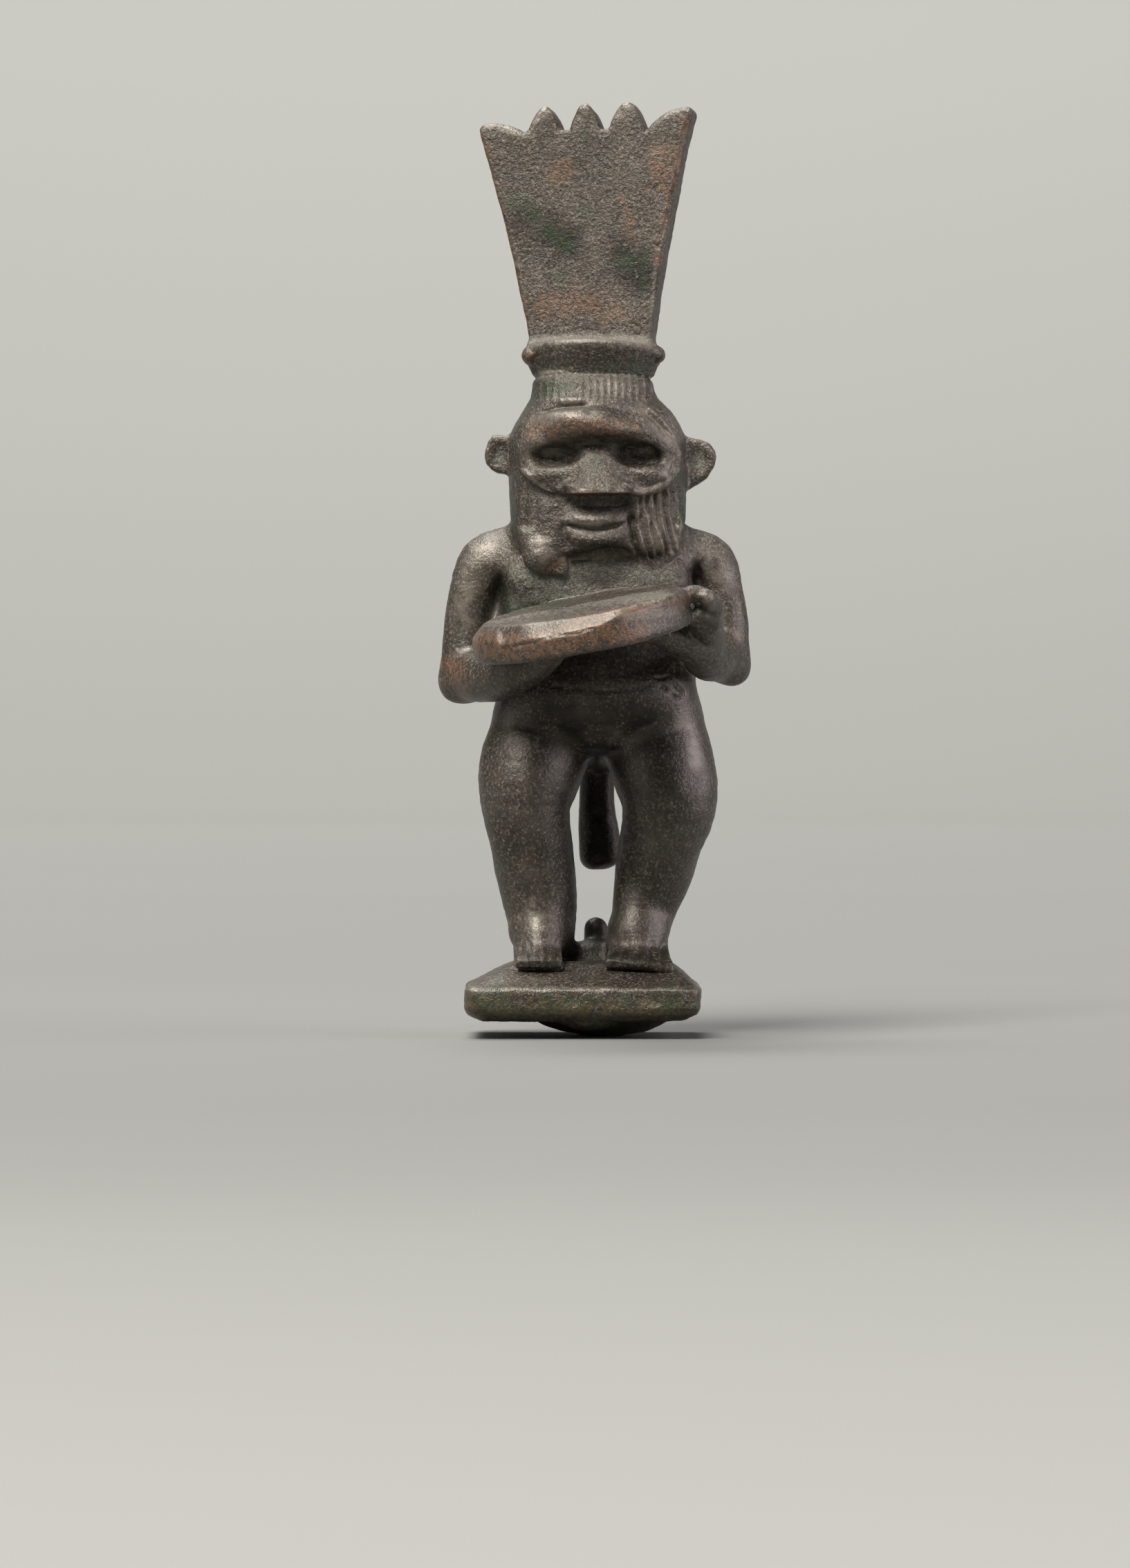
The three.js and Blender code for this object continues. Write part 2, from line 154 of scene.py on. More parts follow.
def ball(at, half, turn=(0, 0, 0)):
    """An ellipsoid with three half sizes."""
    at = np.array(at, np.float32)
    half = np.array(half, np.float32)
    axes = axes_of(turn)
    reach = np.abs(axes) @ half

    def distance(x, y, z):
        local = [v / h for v, h in zip(to_local(x, y, z, at, axes), half)]
        size = np.sqrt(sum(v * v for v in local))
        steep = np.sqrt(sum((v / h) ** 2 for v, h in zip(local, half)))
        return size * (size - 1) / np.maximum(steep, 1e-4)

    return at - reach, at + reach, distance


def rod(stations, steps=4):
    """A round-ended form along a smooth path. Each station is x, y, z and the radius there."""
    path = smooth_path(stations, steps)
    radius = path[:, 3:]

    def distance(x, y, z):
        best = None
        for a, b in zip(path[:-1], path[1:]):
            way = b - a
            length = float(way[:3] @ way[:3])
            t = ((x - a[0]) * way[0] + (y - a[1]) * way[1] + (z - a[2]) * way[2]) / length
            t = np.clip(t, 0, 1)
            gap = np.sqrt(
                (x - a[0] - t * way[0]) ** 2 + (y - a[1] - t * way[1]) ** 2 + (z - a[2] - t * way[2]) ** 2
            )
            gap -= a[3] + t * way[3]
            best = gap if best is None else np.minimum(best, gap)
        return best

    return (path[:, :3] - radius).min(0), (path[:, :3] + radius).max(0), distance


def column(levels, edge=0.8, smooth=True):
    """An upright form. Each level is z, x, y, half width, half depth and squareness (2 is an ellipse)."""
    rows = smooth_path(levels, 6) if smooth else np.array(levels, np.float32)
    bottom, top = float(rows[0, 0]), float(rows[-1, 0])

    def distance(x, y, z):
        mid_x, mid_y, wide, deep, square = [
            np.interp(z, rows[:, 0], rows[:, i]).astype(np.float32) for i in range(1, 6)
        ]
        u = np.maximum(np.abs(x - mid_x) / wide, 1e-3)
        v = np.maximum(np.abs(y - mid_y) / deep, 1e-3)
        size = np.maximum((u**square + v**square) ** (1 / square), 0.05)
        steep = np.hypot(u ** (square - 1) / wide, v ** (square - 1) / deep) * size ** (1 - square)
        side = (size - 1) / np.maximum(steep, 1e-4)
        ends = np.abs(z - (bottom + top) / 2) - (top - bottom) / 2
        return smooth_max(side, ends, edge)

    low = (rows[:, 1] - rows[:, 3]).min(), (rows[:, 2] - rows[:, 4]).min(), bottom
    high = (rows[:, 1] + rows[:, 3]).max(), (rows[:, 2] + rows[:, 4]).max(), top
    return np.array(low), np.array(high), distance


def disc(at, radius, half, rounding, bevel, turn):
    """A round plate with a rounded rim. The bevel along its upper edge wavers, and ends past the middle."""
    axes = axes_of(turn)
    reach = np.abs(axes) @ np.array([radius, radius, half])

    def distance(x, y, z):
        u, v, w = to_local(x, y, z, at, axes)
        body = rounded(np.hypot(u, v) - radius, np.abs(w) - half, rounding)
        size = bevel * (1 - 0.7 * np.clip((u + 0.5) / 5, 0, 1)) + 0.08 * np.sin(1.7 * u)
        slope = (np.hypot(u, v) - radius + w - half + size) / math.sqrt(2)
        return smooth_max(body, slope, 0.15)

    return np.array(at) - reach, np.array(at) + reach, distance


def plate(outline, at, half, rounding, turn):
    """A flat plate with rounded edges, upright before its turn. The outline is across and up."""
    axes = axes_of(turn)
    low = np.min(outline, axis=0) - 2 * REACH
    high = np.max(outline, axis=0) + 2 * REACH
    cell = 0.1
    u = np.arange(low[0], high[0] + cell, cell, dtype=np.float32)[:, None]
    v = np.arange(low[1], high[1] + cell, cell, dtype=np.float32)[None, :]
    flat = outline_distance(outline, u, v)

    def distance(x, y, z):
        across, deep, up = to_local(x, y, z, at, axes)
        i = np.clip((across - low[0]) / cell, 0, flat.shape[0] - 1.001)
        j = np.clip((up - low[1]) / cell, 0, flat.shape[1] - 1.001)
        i0, j0 = i.astype(np.int32), j.astype(np.int32)
        fi, fj = i - i0, j - j0
        near = flat[i0, j0] * (1 - fi) + flat[i0 + 1, j0] * fi
        far = flat[i0, j0 + 1] * (1 - fi) + flat[i0 + 1, j0 + 1] * fi
        return rounded(near * (1 - fj) + far * fj, np.abs(deep) - half, rounding)

    corners = [[p[0], d, p[1]] for p in outline for d in (-half, half)]
    placed = np.array(corners) @ axes.T + np.array(at)
    return placed.min(0), placed.max(0), distance


class Clay:
    """A block of clay: signed distances in millimetres on a grid of points, negative inside the figure."""

    def __init__(self, low, high):
        self.low = np.array(low, np.float32)
        count = np.ceil((np.array(high) - self.low) / STEP).astype(int) + 1
        self.field = np.full(count, REACH, np.float32)

    def window(self, low, high):
        """The part of the grid in a box, with the coordinates along each of its sides."""
        first = np.clip(np.floor((np.array(low) - self.low) / STEP).astype(int), 0, None)
        last = np.minimum(np.ceil((np.array(high) - self.low) / STEP).astype(int) + 1, self.field.shape)
        x, y, z = [self.low[i] + STEP * np.arange(first[i], last[i], dtype=np.float32) for i in range(3)]
        spans = tuple(slice(a, b) for a, b in zip(first, last))
        return spans, x[:, None, None], y[None, :, None], z[None, None, :]

    def add(self, form, blend=0.6):
        low, high, distance = form
        spans, x, y, z = self.window(low - REACH, high + REACH)
        self.field[spans] = smooth_min(self.field[spans], distance(x, y, z), blend)

    def cut(self, form, blend=0.4):
        low, high, distance = form
        spans, x, y, z = self.window(low - REACH, high + REACH)
        self.field[spans] = smooth_max(self.field[spans], -distance(x, y, z), blend)

    def press(self, line, depth, width, reach, taper=0.15):
        """Presses a groove along a line, across and up, into what lies between two depths.

        A negative depth raises a ridge. The groove fades out over the taper at each end of the line.
        """
        path = smooth_path(line, 4)
        margin = 2.2 * width
        low = [path[:, 0].min() - margin, reach[0], path[:, 1].min() - margin]
        high = [path[:, 0].max() + margin, reach[1], path[:, 1].max() + margin]
        spans, x, y, z = self.window(low, high)
        gap, along = line_distance(path, x[:, :, 0], z[0])
        ends = np.clip(np.minimum(along, 1 - along) / taper, 0, 1) if taper else 1
        groove = depth * ends * np.exp(-((gap / width) ** 2))
        self.field[spans] += groove[:, None, :] * np.clip((reach[1] - y) / 0.8, 0, 1)

    def emboss(self, outline, height, soft, reach):
        """Raises what lies inside an outline seen from the front, between two depths, by a soft step."""
        low, high = np.min(outline, axis=0) - soft, np.max(outline, axis=0) + soft
        spans, x, y, z = self.window([low[0], reach[0], low[1]], [high[0], reach[1], high[1]])
        rise = np.clip(0.5 - outline_distance(outline, x[:, :, 0], z[0]) / soft, 0, 1)
        rise = height * rise * rise * (3 - 2 * rise)
        self.field[spans] -= rise[:, None, :] * np.clip((reach[1] - y) / 0.8, 0, 1)

    def dent(self, at, half, depth):
        """Pushes the surface in smoothly round a point, or out if the depth is negative."""
        at, half = np.array(at), np.array(half)
        spans, x, y, z = self.window(at - 2.2 * half, at + 2.2 * half)
        far = sum(((v - c) / h) ** 2 for v, c, h in zip((x, y, z), at, half))
        self.field[spans] += depth * np.exp(-far)

    def front(self, x, z):
        """The depth of the surface at a place seen from the front."""
        i, k = round((x - self.low[0]) / STEP), round((z - self.low[2]) / STEP)
        row = self.field[i, :, k]
        first = int(np.argmax(row < 0))
        return self.low[1] + STEP * (first - row[first] / (row[first] - row[first - 1]))

    def strand(self, line, radius, sink, blend=0.2):
        """Lays a thin form on the front surface. Each point is x, z and a share of the radius."""
        stations = [(x, self.front(x, z) + sink, z, radius * share) for x, z, share in line]
        self.add(rod(stations), blend)

    def sample(self, points):
        """The field at points, between its grid values."""
        spot = np.clip((points - self.low) / STEP, 0, np.array(self.field.shape) - 1.001)
        cell = spot.astype(int)
        part = spot - cell
        total = np.zeros(len(points), np.float32)
        for corner in np.ndindex(2, 2, 2):
            weight = np.prod(np.where(corner, part, 1 - part), axis=1)
            total += weight * self.field[tuple((cell + corner).T)]
        return total

    def surface(self):
        """Points and four-sided faces of the surface, in millimetres."""
        grid = openvdb.FloatGrid(background=REACH)
        grid.copyFromArray(np.clip(self.field, -REACH, REACH))
        points, quads = grid.convertToQuads(isovalue=0)
        return points * STEP + self.low, quads


# What differs between the god's right side, at -X, and his left.
RIGHT = {
    "leg": [
        (-3.9, 1.2, 26.8, 3.4), (-4.2, 0.6, 24.3, 4.1), (-5.15, -0.6, 21.4, 4.15),
        (-5.55, -1.4, KNEE_Z, 3.55), (-5, -0.7, 14.8, 3.2), (-4.45, 0.1, 11.2, 3.05), (-4.1, 0.6, 8.2, 2.5),
        (-4.1, 0.8, SOLE_Z + 0.8, 2.4),
    ],
    "arm": [
        (-6.2, 0.8, 38.8, 2.2), (-8.6, 0.6, 37.9, 2.3), (-9.85, 0.4, 35, 1.95), (-10.25, 0.3, 31.4, 2),
        (-10.3, 0.1, 29, 2.1),
    ],
    "elbow": (-10.95, 0.3, 28.05),
    "forearm": [
        (-10.2, 0.1, 29, 2.1), (-8.9, -3.2, 28.8, 2), (-7, -6.4, 29.05, 1.85), (-5, -8.6, 29.8, 1.5),
        (-3.5, -10.3, 30.5, 0.95),
    ],
    "armpit": {"at": (-7.8, -2.9, 34.9), "half": (0.6, 2.6, 2.4), "turn": (0, 6, 0)},
    "ankle_x": -4.4,
    "toe_spread": 0.2,
    "toes": (-5.85, -3.1),
    "toe_thick": 0.5,
    "toe_drop": 0,
    "toe_blend": 0.35,
    "instep": [(-4.4, -0.2, 12.8, 1.6), (-4.4, -1.1, 10.2, 1.7), (-4.4, -2.2, 8.1, 1.5)],
    "ear": [
        (-6.3, 48.1), (-7.5, 48.25), (-8.15, 48.25), (-8.6, 47.7), (-8.85, 47), (-8.9, 46.4), (-8.75, 45.9),
        (-8.3, 45.4), (-7.8, 45.15), (-7.2, 45.1), (-6.3, 45),
    ],
    "ear_dish": (-7.75, 46.75),
}
LEFT = {
    "leg": [
        (4.4, 1.2, 26.8, 3.5), (4.7, 0.6, 24.3, 4.15), (5.5, -0.6, 21.4, 4.15), (5.95, -1.4, KNEE_Z, 3.8),
        (5.1, -0.7, 14.8, 3.1), (4.35, 0.1, 11.2, 2.6), (3.6, 0.6, 8.2, 2.35),
        (3.6, 0.8, SOLE_Z + 0.8, 2.4),
    ],
    "arm": [
        (6.6, 0.8, 38.8, 2.2), (9, 0.6, 37.8, 2.3), (10.1, 0.4, 35, 1.95), (10.4, 0.3, 32.9, 1.95),
        (10.3, 0.1, 30.6, 2.05),
    ],
    "elbow": (11.1, 0.3, 29.4),
    "forearm": [
        (10.2, 0.1, 30.6, 2.05), (9.15, -3.2, 30.5, 2), (8.1, -6.6, 31.2, 1.65), (5.8, -8.9, 32.2, 1.3),
        (4.6, -10.4, 32.4, 0.95),
    ],
    "armpit": {"at": (8.3, -2.9, 36.5), "half": (0.55, 2.4, 1.8), "turn": (0, -8, 0)},
    "ankle_x": 3.5,
    "toe_spread": 0.4,
    "toes": (1.4, 5.65),
    "toe_thick": 0.66,
    "toe_drop": 0.12,
    "toe_blend": 0.2,
    "instep": [(3.3, 0, 13.2, 1.4), (3.2, -0.9, 10.4, 1.6), (3.3, -2, 8.2, 1.5)],
    "ear": [
        (6.6, 48.1), (7.4, 48.1), (8.4, 47.9), (9.2, 47.55), (9.6, 47), (9.72, 46.5), (9.6, 45.7),
        (9, 44.75), (8.3, 44.3), (7.6, 43.9), (6.6, 43.8),
    ],
    "ear_dish": (8.3, 46.3),
}


def sculpt_plinth(clay):
    x, y, wide, deep = -1, -1, 9.4, 7.0
    low, high = 1.35, PLINTH_Z
    slab = [
        (low, x, y, wide - 1.2, deep - 1.3, 6), (low + 0.6, x, y, wide - 0.2, deep - 0.2, 9),
        (low + 1.1, x, y, wide, deep, 12), (high - 0.3, x, y, wide, deep, 14),
        (high, x, y, wide - 0.15, deep - 0.15, 12),
    ]
    slope = [
        (high - 1.3, x, y, wide - 0.3, deep - 0.3, 12), (high - 0.1, x, y, wide - 0.3, deep - 0.3, 12),
        (high + 0.95, x + 0.4, y + 0.5, wide - 1.7, deep - 1.9, 7),
        (SOLE_Z, x + 0.6, y + 0.8, wide - 2.6, deep - 2.9, 6),
        (SOLE_Z + 0.3, x + 0.7, y + 0.9, wide - 3.2, deep - 3.3, 6),
    ]
    clay.add(column(slab, edge=0.4, smooth=False), 0.1)
    clay.add(column(slope, edge=0.4, smooth=False), 0.25)
    # What is left of the casting stub below it.
    clay.add(ball((0.6, y, 2.9), (6.6, 5.6, 2.9)), 0.3)
    clay.add(ball((-0.6, -5.2, 1.6), (2.6, 1.6, 0.9)), 0.4)


def sculpt_leg(clay, half):
    knee, shin, ankle = [half["leg"][i] for i in (3, 4, 6)]
    clay.add(rod(half["leg"]), 1.2)
    clay.add(ball((shin[0], shin[1] + 1.4, shin[2] - 0.2), (2.7, 2.6, 4)), 1.4)
    shin_y = shin[1] - shin[3]
    clay.add(rod([(shin[0] + 0.3, shin_y + 0.5, 16.2, 0.6), (ankle[0], -1.4, 9.6, 0.7)]), 1.2)
    # The crease over the knee.
    crease = [(knee[0] - 2.6, KNEE_Z + 0.1), (knee[0], KNEE_Z - 0.35), (knee[0] + 2.4, KNEE_Z)]
    clay.press(crease, 0.09, 0.3, (-7, -2), taper=0.4)


def sculpt_foot(clay, half):
    """Five toes that spread from the ankle, as one wedge with a blunt front."""
    ankle_x, (first, last) = half["ankle_x"], half["toes"]
    reach, heel, toes = 5.8, 2.5, 5
    side = [
        (-reach, -0.2), (-reach, 0.5), (-reach + 0.35, 0.85), (-4.2, 1.8), (-3, 2.6), (-1.8, 3.2),
        (-0.6, 3.4), (heel - 0.8, 3.4), (heel, -0.2),
    ]
    for i in range(toes):
        u = i / (toes - 1)
        x = first + u * (last - first)
        shorter = 0.2 * abs(i - 2) / 2
        lower = 1 - 0.3 * abs(i - 2) / 2
        outline = [(y + shorter * (y < -3), up * (lower if up > 1 else 1)) for y, up in side]
        sideways = half["toe_spread"] * (x - ankle_x)
        splay = math.degrees(math.asin(sideways / reach))
        at = (x - sideways, 0.2, SOLE_Z - half["toe_drop"] * i)
        blend = half["toe_blend"] if i else 0.7
        clay.add(plate(outline, at, half["toe_thick"], 0.22, (0, 0, 90 + splay)), blend)
    clay.add(rod(half["instep"]), 1.1)
    clay.add(ball((ankle_x, -1.2, SOLE_Z + 2.7), (2.4, 2, 1.7)), 1)
    # The undercut below the toes.
    low = SOLE_Z - 0.3
    sole = [(first - 1.2, low + 0.05), (ankle_x, low), (last + 1.2, low - 4 * half["toe_drop"])]
    clay.press(sole, 0.3, 0.2, (-8, -3))


def sculpt_trunk(clay):
    levels = [
        (22.5, AXIS_X, 0.8, 2.6, 3, 2), (23.8, AXIS_X, 0.6, 6, 4.4, 2.3), (HIP_Z, AXIS_X, 0.3, 7.9, 5, 2.4),
        (28.2, AXIS_X, -0.1, 7.8, 4.9, 2.4), (31.5, AXIS_X, 0, 8.2, 4.5, 2.2),
        (35.5, AXIS_X, 0.1, 8.5, 4.2, 2.3), (SHOULDER_Z, AXIS_X, 0.4, 8.6, 4, 2.5),
        (40.4, AXIS_X, 0.7, 7.6, 3.5, 2.4), (41.4, AXIS_X, 0.9, 6.2, 3, 2.4),
    ]
    clay.add(column(levels), 1.2)
    clay.add(ball((AXIS_X, -2.3, 27.4), (6.3, 3.2, 3.4)), 1.2)
    clay.add(ball((AXIS_X + 0.5, -3.5, 24.1), (1.9, 1.3, 1.2)), 0.6)
    for side in (-1, 1):
        clay.add(ball((AXIS_X + side * 3.6, -2.9, 36.6), (3.4, 1.3, 2.4)), 1.2)
        clay.add(ball((AXIS_X + side * 3.2, 2.6, 25), (3.9, 3.5, 3.8)), 0.7)
        blade = [(AXIS_X + side * 4.6, 3.4, 39.5, 1.3), (AXIS_X + side * 3.6, 3.7, 35, 1.2)]
        clay.add(rod(blade), 1.4)
    clay.add(ball((AXIS_X + 0.2, 3.2, 24), (2.4, 2.4, 3)), 0.8)
    # The furrow down the back.
    clay.add(rod([(AXIS_X, 3.2, 38, 0.6), (AXIS_X, 4, 28, 0.7)]), 1.2)


def sculpt_belly(clay):
    """Folds across the belly, and its lower border over the thighs."""
    for z, sag, depth in ((29.3, 0.3, 0.05), (28.2, 0.5, 0.06), (26.9, 0.6, 0.05)):
        end, side = z + 0.2, z - sag * 0.5
        fold = [(-4.6, end), (-2, side), (0.6, z - sag), (3.2, side), (5.4, end)]
        clay.press(fold, depth, 0.25, (-8, -3))
    right = [(-6.9, 25.2), (-5.3, 24.9), (-3.7, 24.85), (-2.5, 24.5), (-1.3, 23.7)]
    left = [(2.1, 23.4), (2.7, 24.2), (3.6, 24.8), (4.8, 25.1), (6.2, 25.8)]
    for border in (right, left):
        clay.press(border, 0.13, 0.45, (-7, -2))
    # Cracks in the casting at his left flank.
    cracks = (
        [(4.4, 28.9), (5.2, 28.7), (6, 29)],
        [(6.3, 28.7), (6.5, 28.1), (7, 27.6), (7, 27)], [(5, 28.2), (5.5, 28), (5.8, 27.6)],
        [(6.1, 27.5), (6.5, 27.1), (7, 27.3)],
    )
    for crack in cracks:
        clay.press(crack, 0.18, 0.12, (-8, 0), taper=0.3)


def sculpt_arm(clay, half):
    clay.add(rod(half["arm"]), 0.9)
    clay.add(ball(half["elbow"], (1.35, 1.5, 1.3)), 0.8)
    clay.add(rod(half["forearm"]), 0.6)
    clay.cut(ball(**half["armpit"]), 0.7)


def sculpt_hands(clay):
    """The flat hand under the drum, and the god's left hand that grips its rim."""
    fingers = 4
    for i in range(fingers):
        y = -10.9 + i * 0.85
        clay.add(rod([(-4.4, y, 30.4, 0.55), (-2.4, y - 0.3, 30.8 + 0.05 * i, 0.42)]), 0.35)
        clay.add(rod([(5.6, y, 32.2, 0.5), (3.4, y - 0.3, 31.9, 0.42)]), 0.35)
    clay.add(rod([(9, -6.5, 32, 1.4), (8.8, -9, 32.9, 1.25), (8.2, -10.6, 33.5, 1)]), 0.6)
    # The thumb along the rim.
    clay.add(rod([(9.1, -8, 33.2, 1), (9.15, -10, 34.4, 0.95), (8.7, -11.6, 35, 0.8)]), 0.4)
    # Fingertips over the rim.
    for i, (x, z) in enumerate(((8.1, 35.6), (7.6, 35.6), (7.2, 35.4))):
        clay.add(rod([(8.9, -10.4 - 0.3 * i, 34.9, 0.6), (x, -11.2 - 0.35 * i, z, 0.5)]), 0.4)
    clay.dent((8.15, -12.7, 34.8), (0.45, 0.8, 0.3), 0.22)


def sculpt_drum(clay):
    clay.add(disc((DRUM_X, DRUM_Y, DRUM_Z), DRUM_RADIUS, DRUM_HALF, 0.45, 1.1, DRUM_TURN), 0.3)
    # The wavering seam along the rim.
    seam = [
        (-7.2, 31), (-6.2, 31.3), (-4.8, 31.55), (-3.2, 32.1), (-1.6, 32.25), (-0.6, 32.6), (0.6, 32.65),
    ]
    clay.press(seam, 0.09, 0.09, (-22, -14))
    # Its left end, knocked to a blunt corner with a dimple.
    clay.press([(-7.9, 32.6), (-7.7, 31.6), (-7.6, 30.2)], -0.16, 0.35, (-20, -9))
    clay.dent((-9, -15.5, 31.6), (0.35, 2, 0.5), 0.18)
    clay.dent((-6.9, -18.6, 32), (0.9, 2, 0.5), 0.12)
    clay.dent((4.4, -18.6, 33.5), (1.4, 2.5, 0.9), 0.1)


def sculpt_skull(clay):
    block = [
        (38.3, AXIS_X, -0.8, 5.6, 4, 2.4), (39, AXIS_X, -0.9, 6.6, 4.6, 2.6),
        (41.5, AXIS_X, -0.6, 6.95, 5, 2.7), (45, AXIS_X, -0.2, 7, 5.6, 2.7), (48, AXIS_X, 0, 7, 5.8, 2.6),
        (49.7, AXIS_X, 0.2, 6.15, 5.8, 2.5), (50.7, 0.05, 0.3, 5.4, 5.4, 2.4),
        (HEAD_TOP_Z, -0.1, 0.3, 4.95, 4.8, 2.3), (53.4, -0.25, 0.4, 4.65, 4.3, 2.3),
    ]
    mane = [
        (35.6, AXIS_X, 2.4, 4.6, 2, 2), (37.4, AXIS_X, 2.6, 6.2, 3.2, 2.4),
        (42, AXIS_X, 2.2, 6.8, 4.1, 2.4), (47, AXIS_X, 1.6, 6.8, 4.7, 2.4),
        (50.4, AXIS_X, 1, 5.6, 4.6, 2.4),
    ]
    clay.add(column(block, edge=0.6), 0.6)
    clay.add(column(mane, edge=1.2), 0.8)


def sculpt_ear(clay, half):
    clay.add(plate(half["ear"], (0, -0.2, 0), 0.75, 0.4, (0, 0, 0)), 0.5)
    x, z = half["ear_dish"]
    clay.dent((x, -0.9, z), (0.7, 0.8, 1), 0.35)


def sculpt_brow(clay):
    """A heavy brow like a visor: a blunt front that leans out over the eyes, and comes down beside them."""
    y, square = -2, 2.2
    levels = [
        (47.7, 0.1, y, 5.5, 4.4, 2.4), (48.4, 0.1, y, 5.5, 4.8, 2.4), (49.1, -0.2, y, 5, 5, 2.3),
        (49.6, -0.5, y, 4.4, 4.95, square), (50, -0.5, y, 3.7, 4.5, square),
        (50.4, -0.4, y, 2.6, 3.6, square),
    ]
    clay.add(column(levels, edge=0.35), 0.25)
    for side in (-1, 1):
        corner = [
            (AXIS_X + side * 4, -4.9, 48.1, 0.6), (AXIS_X + side * 5.2, -4.4, 47.3, 0.55),
            (AXIS_X + side * 5.9, -3.6, 46.5, 0.45),
        ]
        clay.add(rod(corner), 0.4)
    # It is worn lower over his left eye, and notched in the middle.
    clay.dent((2.6, -6.7, 49.6), (1.9, 1.6, 0.8), 0.45)
    clay.dent((-0.4, -7.0, 49.9), (0.5, 1.2, 0.6), 0.2)


def sculpt_face(clay):
    """The mask-like face: a heavy brow, sunken eyes, a broad nose and the cheeks' stepped border."""
    mask = [
        (-6.4, 47.3), (-6.3, 46.2), (-6, 45.6), (-5.2, 44.95), (-4, 43.9), (-2.9, 43.5), (0.3, 43.1),
        (3, 43.5), (3.9, 43.65), (5.1, 44.2), (6.1, 45.3), (6.6, 46.6), (6.7, 47.6), (4, 49.6), (0.2, 50),
        (-4, 49.5),
    ]
    clay.emboss(mask, 0.35, 0.5, (-8, 1))
    sculpt_brow(clay)
    for side in (-1, 1):
        clay.cut(ball((AXIS_X + side * 3.5, -6.7, EYE_Z), (2.6, 2.6, 1.2), (0, 8 * side, 12 * side)), 0.3)
    clay.cut(ball((AXIS_X, -7, EYE_Z + 0.7), (2.6, 1.9, 0.6)), 0.7)
    bridge = [
        (43.35, 0.3, -4.4, 2.75, 3.3, 3), (44, 0.3, -4.4, 2.5, 3.1, 2.8), (45, 0.25, -4.4, 2.05, 2.5, 2.6),
        (46.3, 0.1, -4.3, 1.5, 1.7, 2.4), (47.7, 0.1, -4.3, 1.2, 0.9, 2),
    ]
    clay.add(column(bridge, edge=0.15), 0.7)
    for side in (-1, 1):
        sculpt_eye(clay, side)
        clay.add(ball((0.3 + side * 2.1, -6.1, 43.95), (0.75, 0.9, 0.45)), 0.45)
    left_cheek = [
        (6.5, 47.4, 0.5), (6.55, 46.4, 1), (6.2, 45.2, 1), (5.2, 44.15, 1), (4.2, 43.7, 0.9),
        (3, 43.6, 0.5),
    ]
    clay.strand(left_cheek, 0.4, 0.05, 0.2)
    right_cheek = [(-6.1, 45.6, 0.4), (-5.3, 44.95, 1), (-4.4, 44.15, 1), (-3.4, 43.6, 0.6)]
    clay.strand(right_cheek, 0.3, 0.02, 0.2)
    sculpt_mouth(clay)
    sculpt_brow_lines(clay)


def sculpt_eye(clay, side):
    """A worn, half-closed eye in its socket."""
    def out(distance):
        return AXIS_X + side * distance

    clay.add(ball((out(3.8), -3.65, EYE_Z), (1.6, 0.75, 0.6), (0, 8 * side, 0)), 0.4)
    lid = [
        (out(2.3), -4.2, EYE_Z, 0.1), (out(3.9), -4.35, EYE_Z + 0.4, 0.2),
        (out(5.2), -4, EYE_Z + 0.1, 0.12),
    ]
    clay.add(rod(lid), 0.35)
    slit = [(out(1.9), EYE_Z - 0.6), (out(3.4), EYE_Z - 0.35), (out(5), EYE_Z - 0.15)]
    clay.press(slit, 0.16, 0.14, (-8, -2))
    clay.add(ball((out(3.9), -4.9, 44.9), (1.8, 0.9, 0.7)), 0.6)


def sculpt_mouth(clay):
    x = AXIS_X
    clay.add(ball((x, -4.6, 40.6), (3.1, 1.5, 2.1)), 0.6)
    # The recess under the nose.
    recess = [(-2.7, 42.55), (-2.4, 42.3), (2.2, 42.3), (2.7, 42.6), (2.8, 43.35), (-2.75, 43.3)]
    clay.cut(plate(recess, (0, -7.6, 0), 2.2, 0.25, (0, 0, 0)), 0.2)
    upper = [
        (x - 2.7, -5.1, 41.3, 0.3), (x - 1.4, -5.5, 41.3, 0.6), (x + 0.1, -5.75, 41.2, 0.7),
        (x + 1.4, -5.55, 41.3, 0.6), (x + 2.5, -5.1, 41.6, 0.3),
    ]
    lower = [
        (x - 2.2, -5.2, 40, 0.35), (x - 1, -5.6, 39.8, 0.55), (x + 0.2, -5.75, 39.8, 0.6),
        (x + 1.3, -5.55, 39.95, 0.55), (x + 2.2, -5.1, 40.2, 0.35),
    ]
    clay.add(rod(upper), 0.4)
    clay.add(rod(lower), 0.35)
    line = [(x - 2.8, 40.95), (x - 1.6, 40.7), (x - 0.3, 40.53), (x + 1, 40.75), (x + 2.4, 41.1)]
    clay.press(line, 0.3, 0.15, (-8, -4))
    clay.dent((x + 2.75, -5.3, 41.45), (0.4, 0.8, 0.4), 0.35)
    clay.press([(x - 2.8, 41), (x - 2.65, 40), (x - 2.4, 38.9)], 0.2, 0.3, (-8, -4))
    # The deep shadow under the lower lip, between the two halves of the beard.
    under = [
        (-2.2, 38.5), (-0.7, 38.8), (0.8, 39.25), (2.3, 39.15), (2.9, 38.8), (2.8, 37), (-2.2, 37),
    ]
    clay.cut(plate(under, (0, -7.2, 0), 2.7, 0.3, (0, 0, 0)), 0.4)
    clay.add(ball((0.4, -3.1, 37.5), (3.2, 1.35, 1.5)), 0.5)


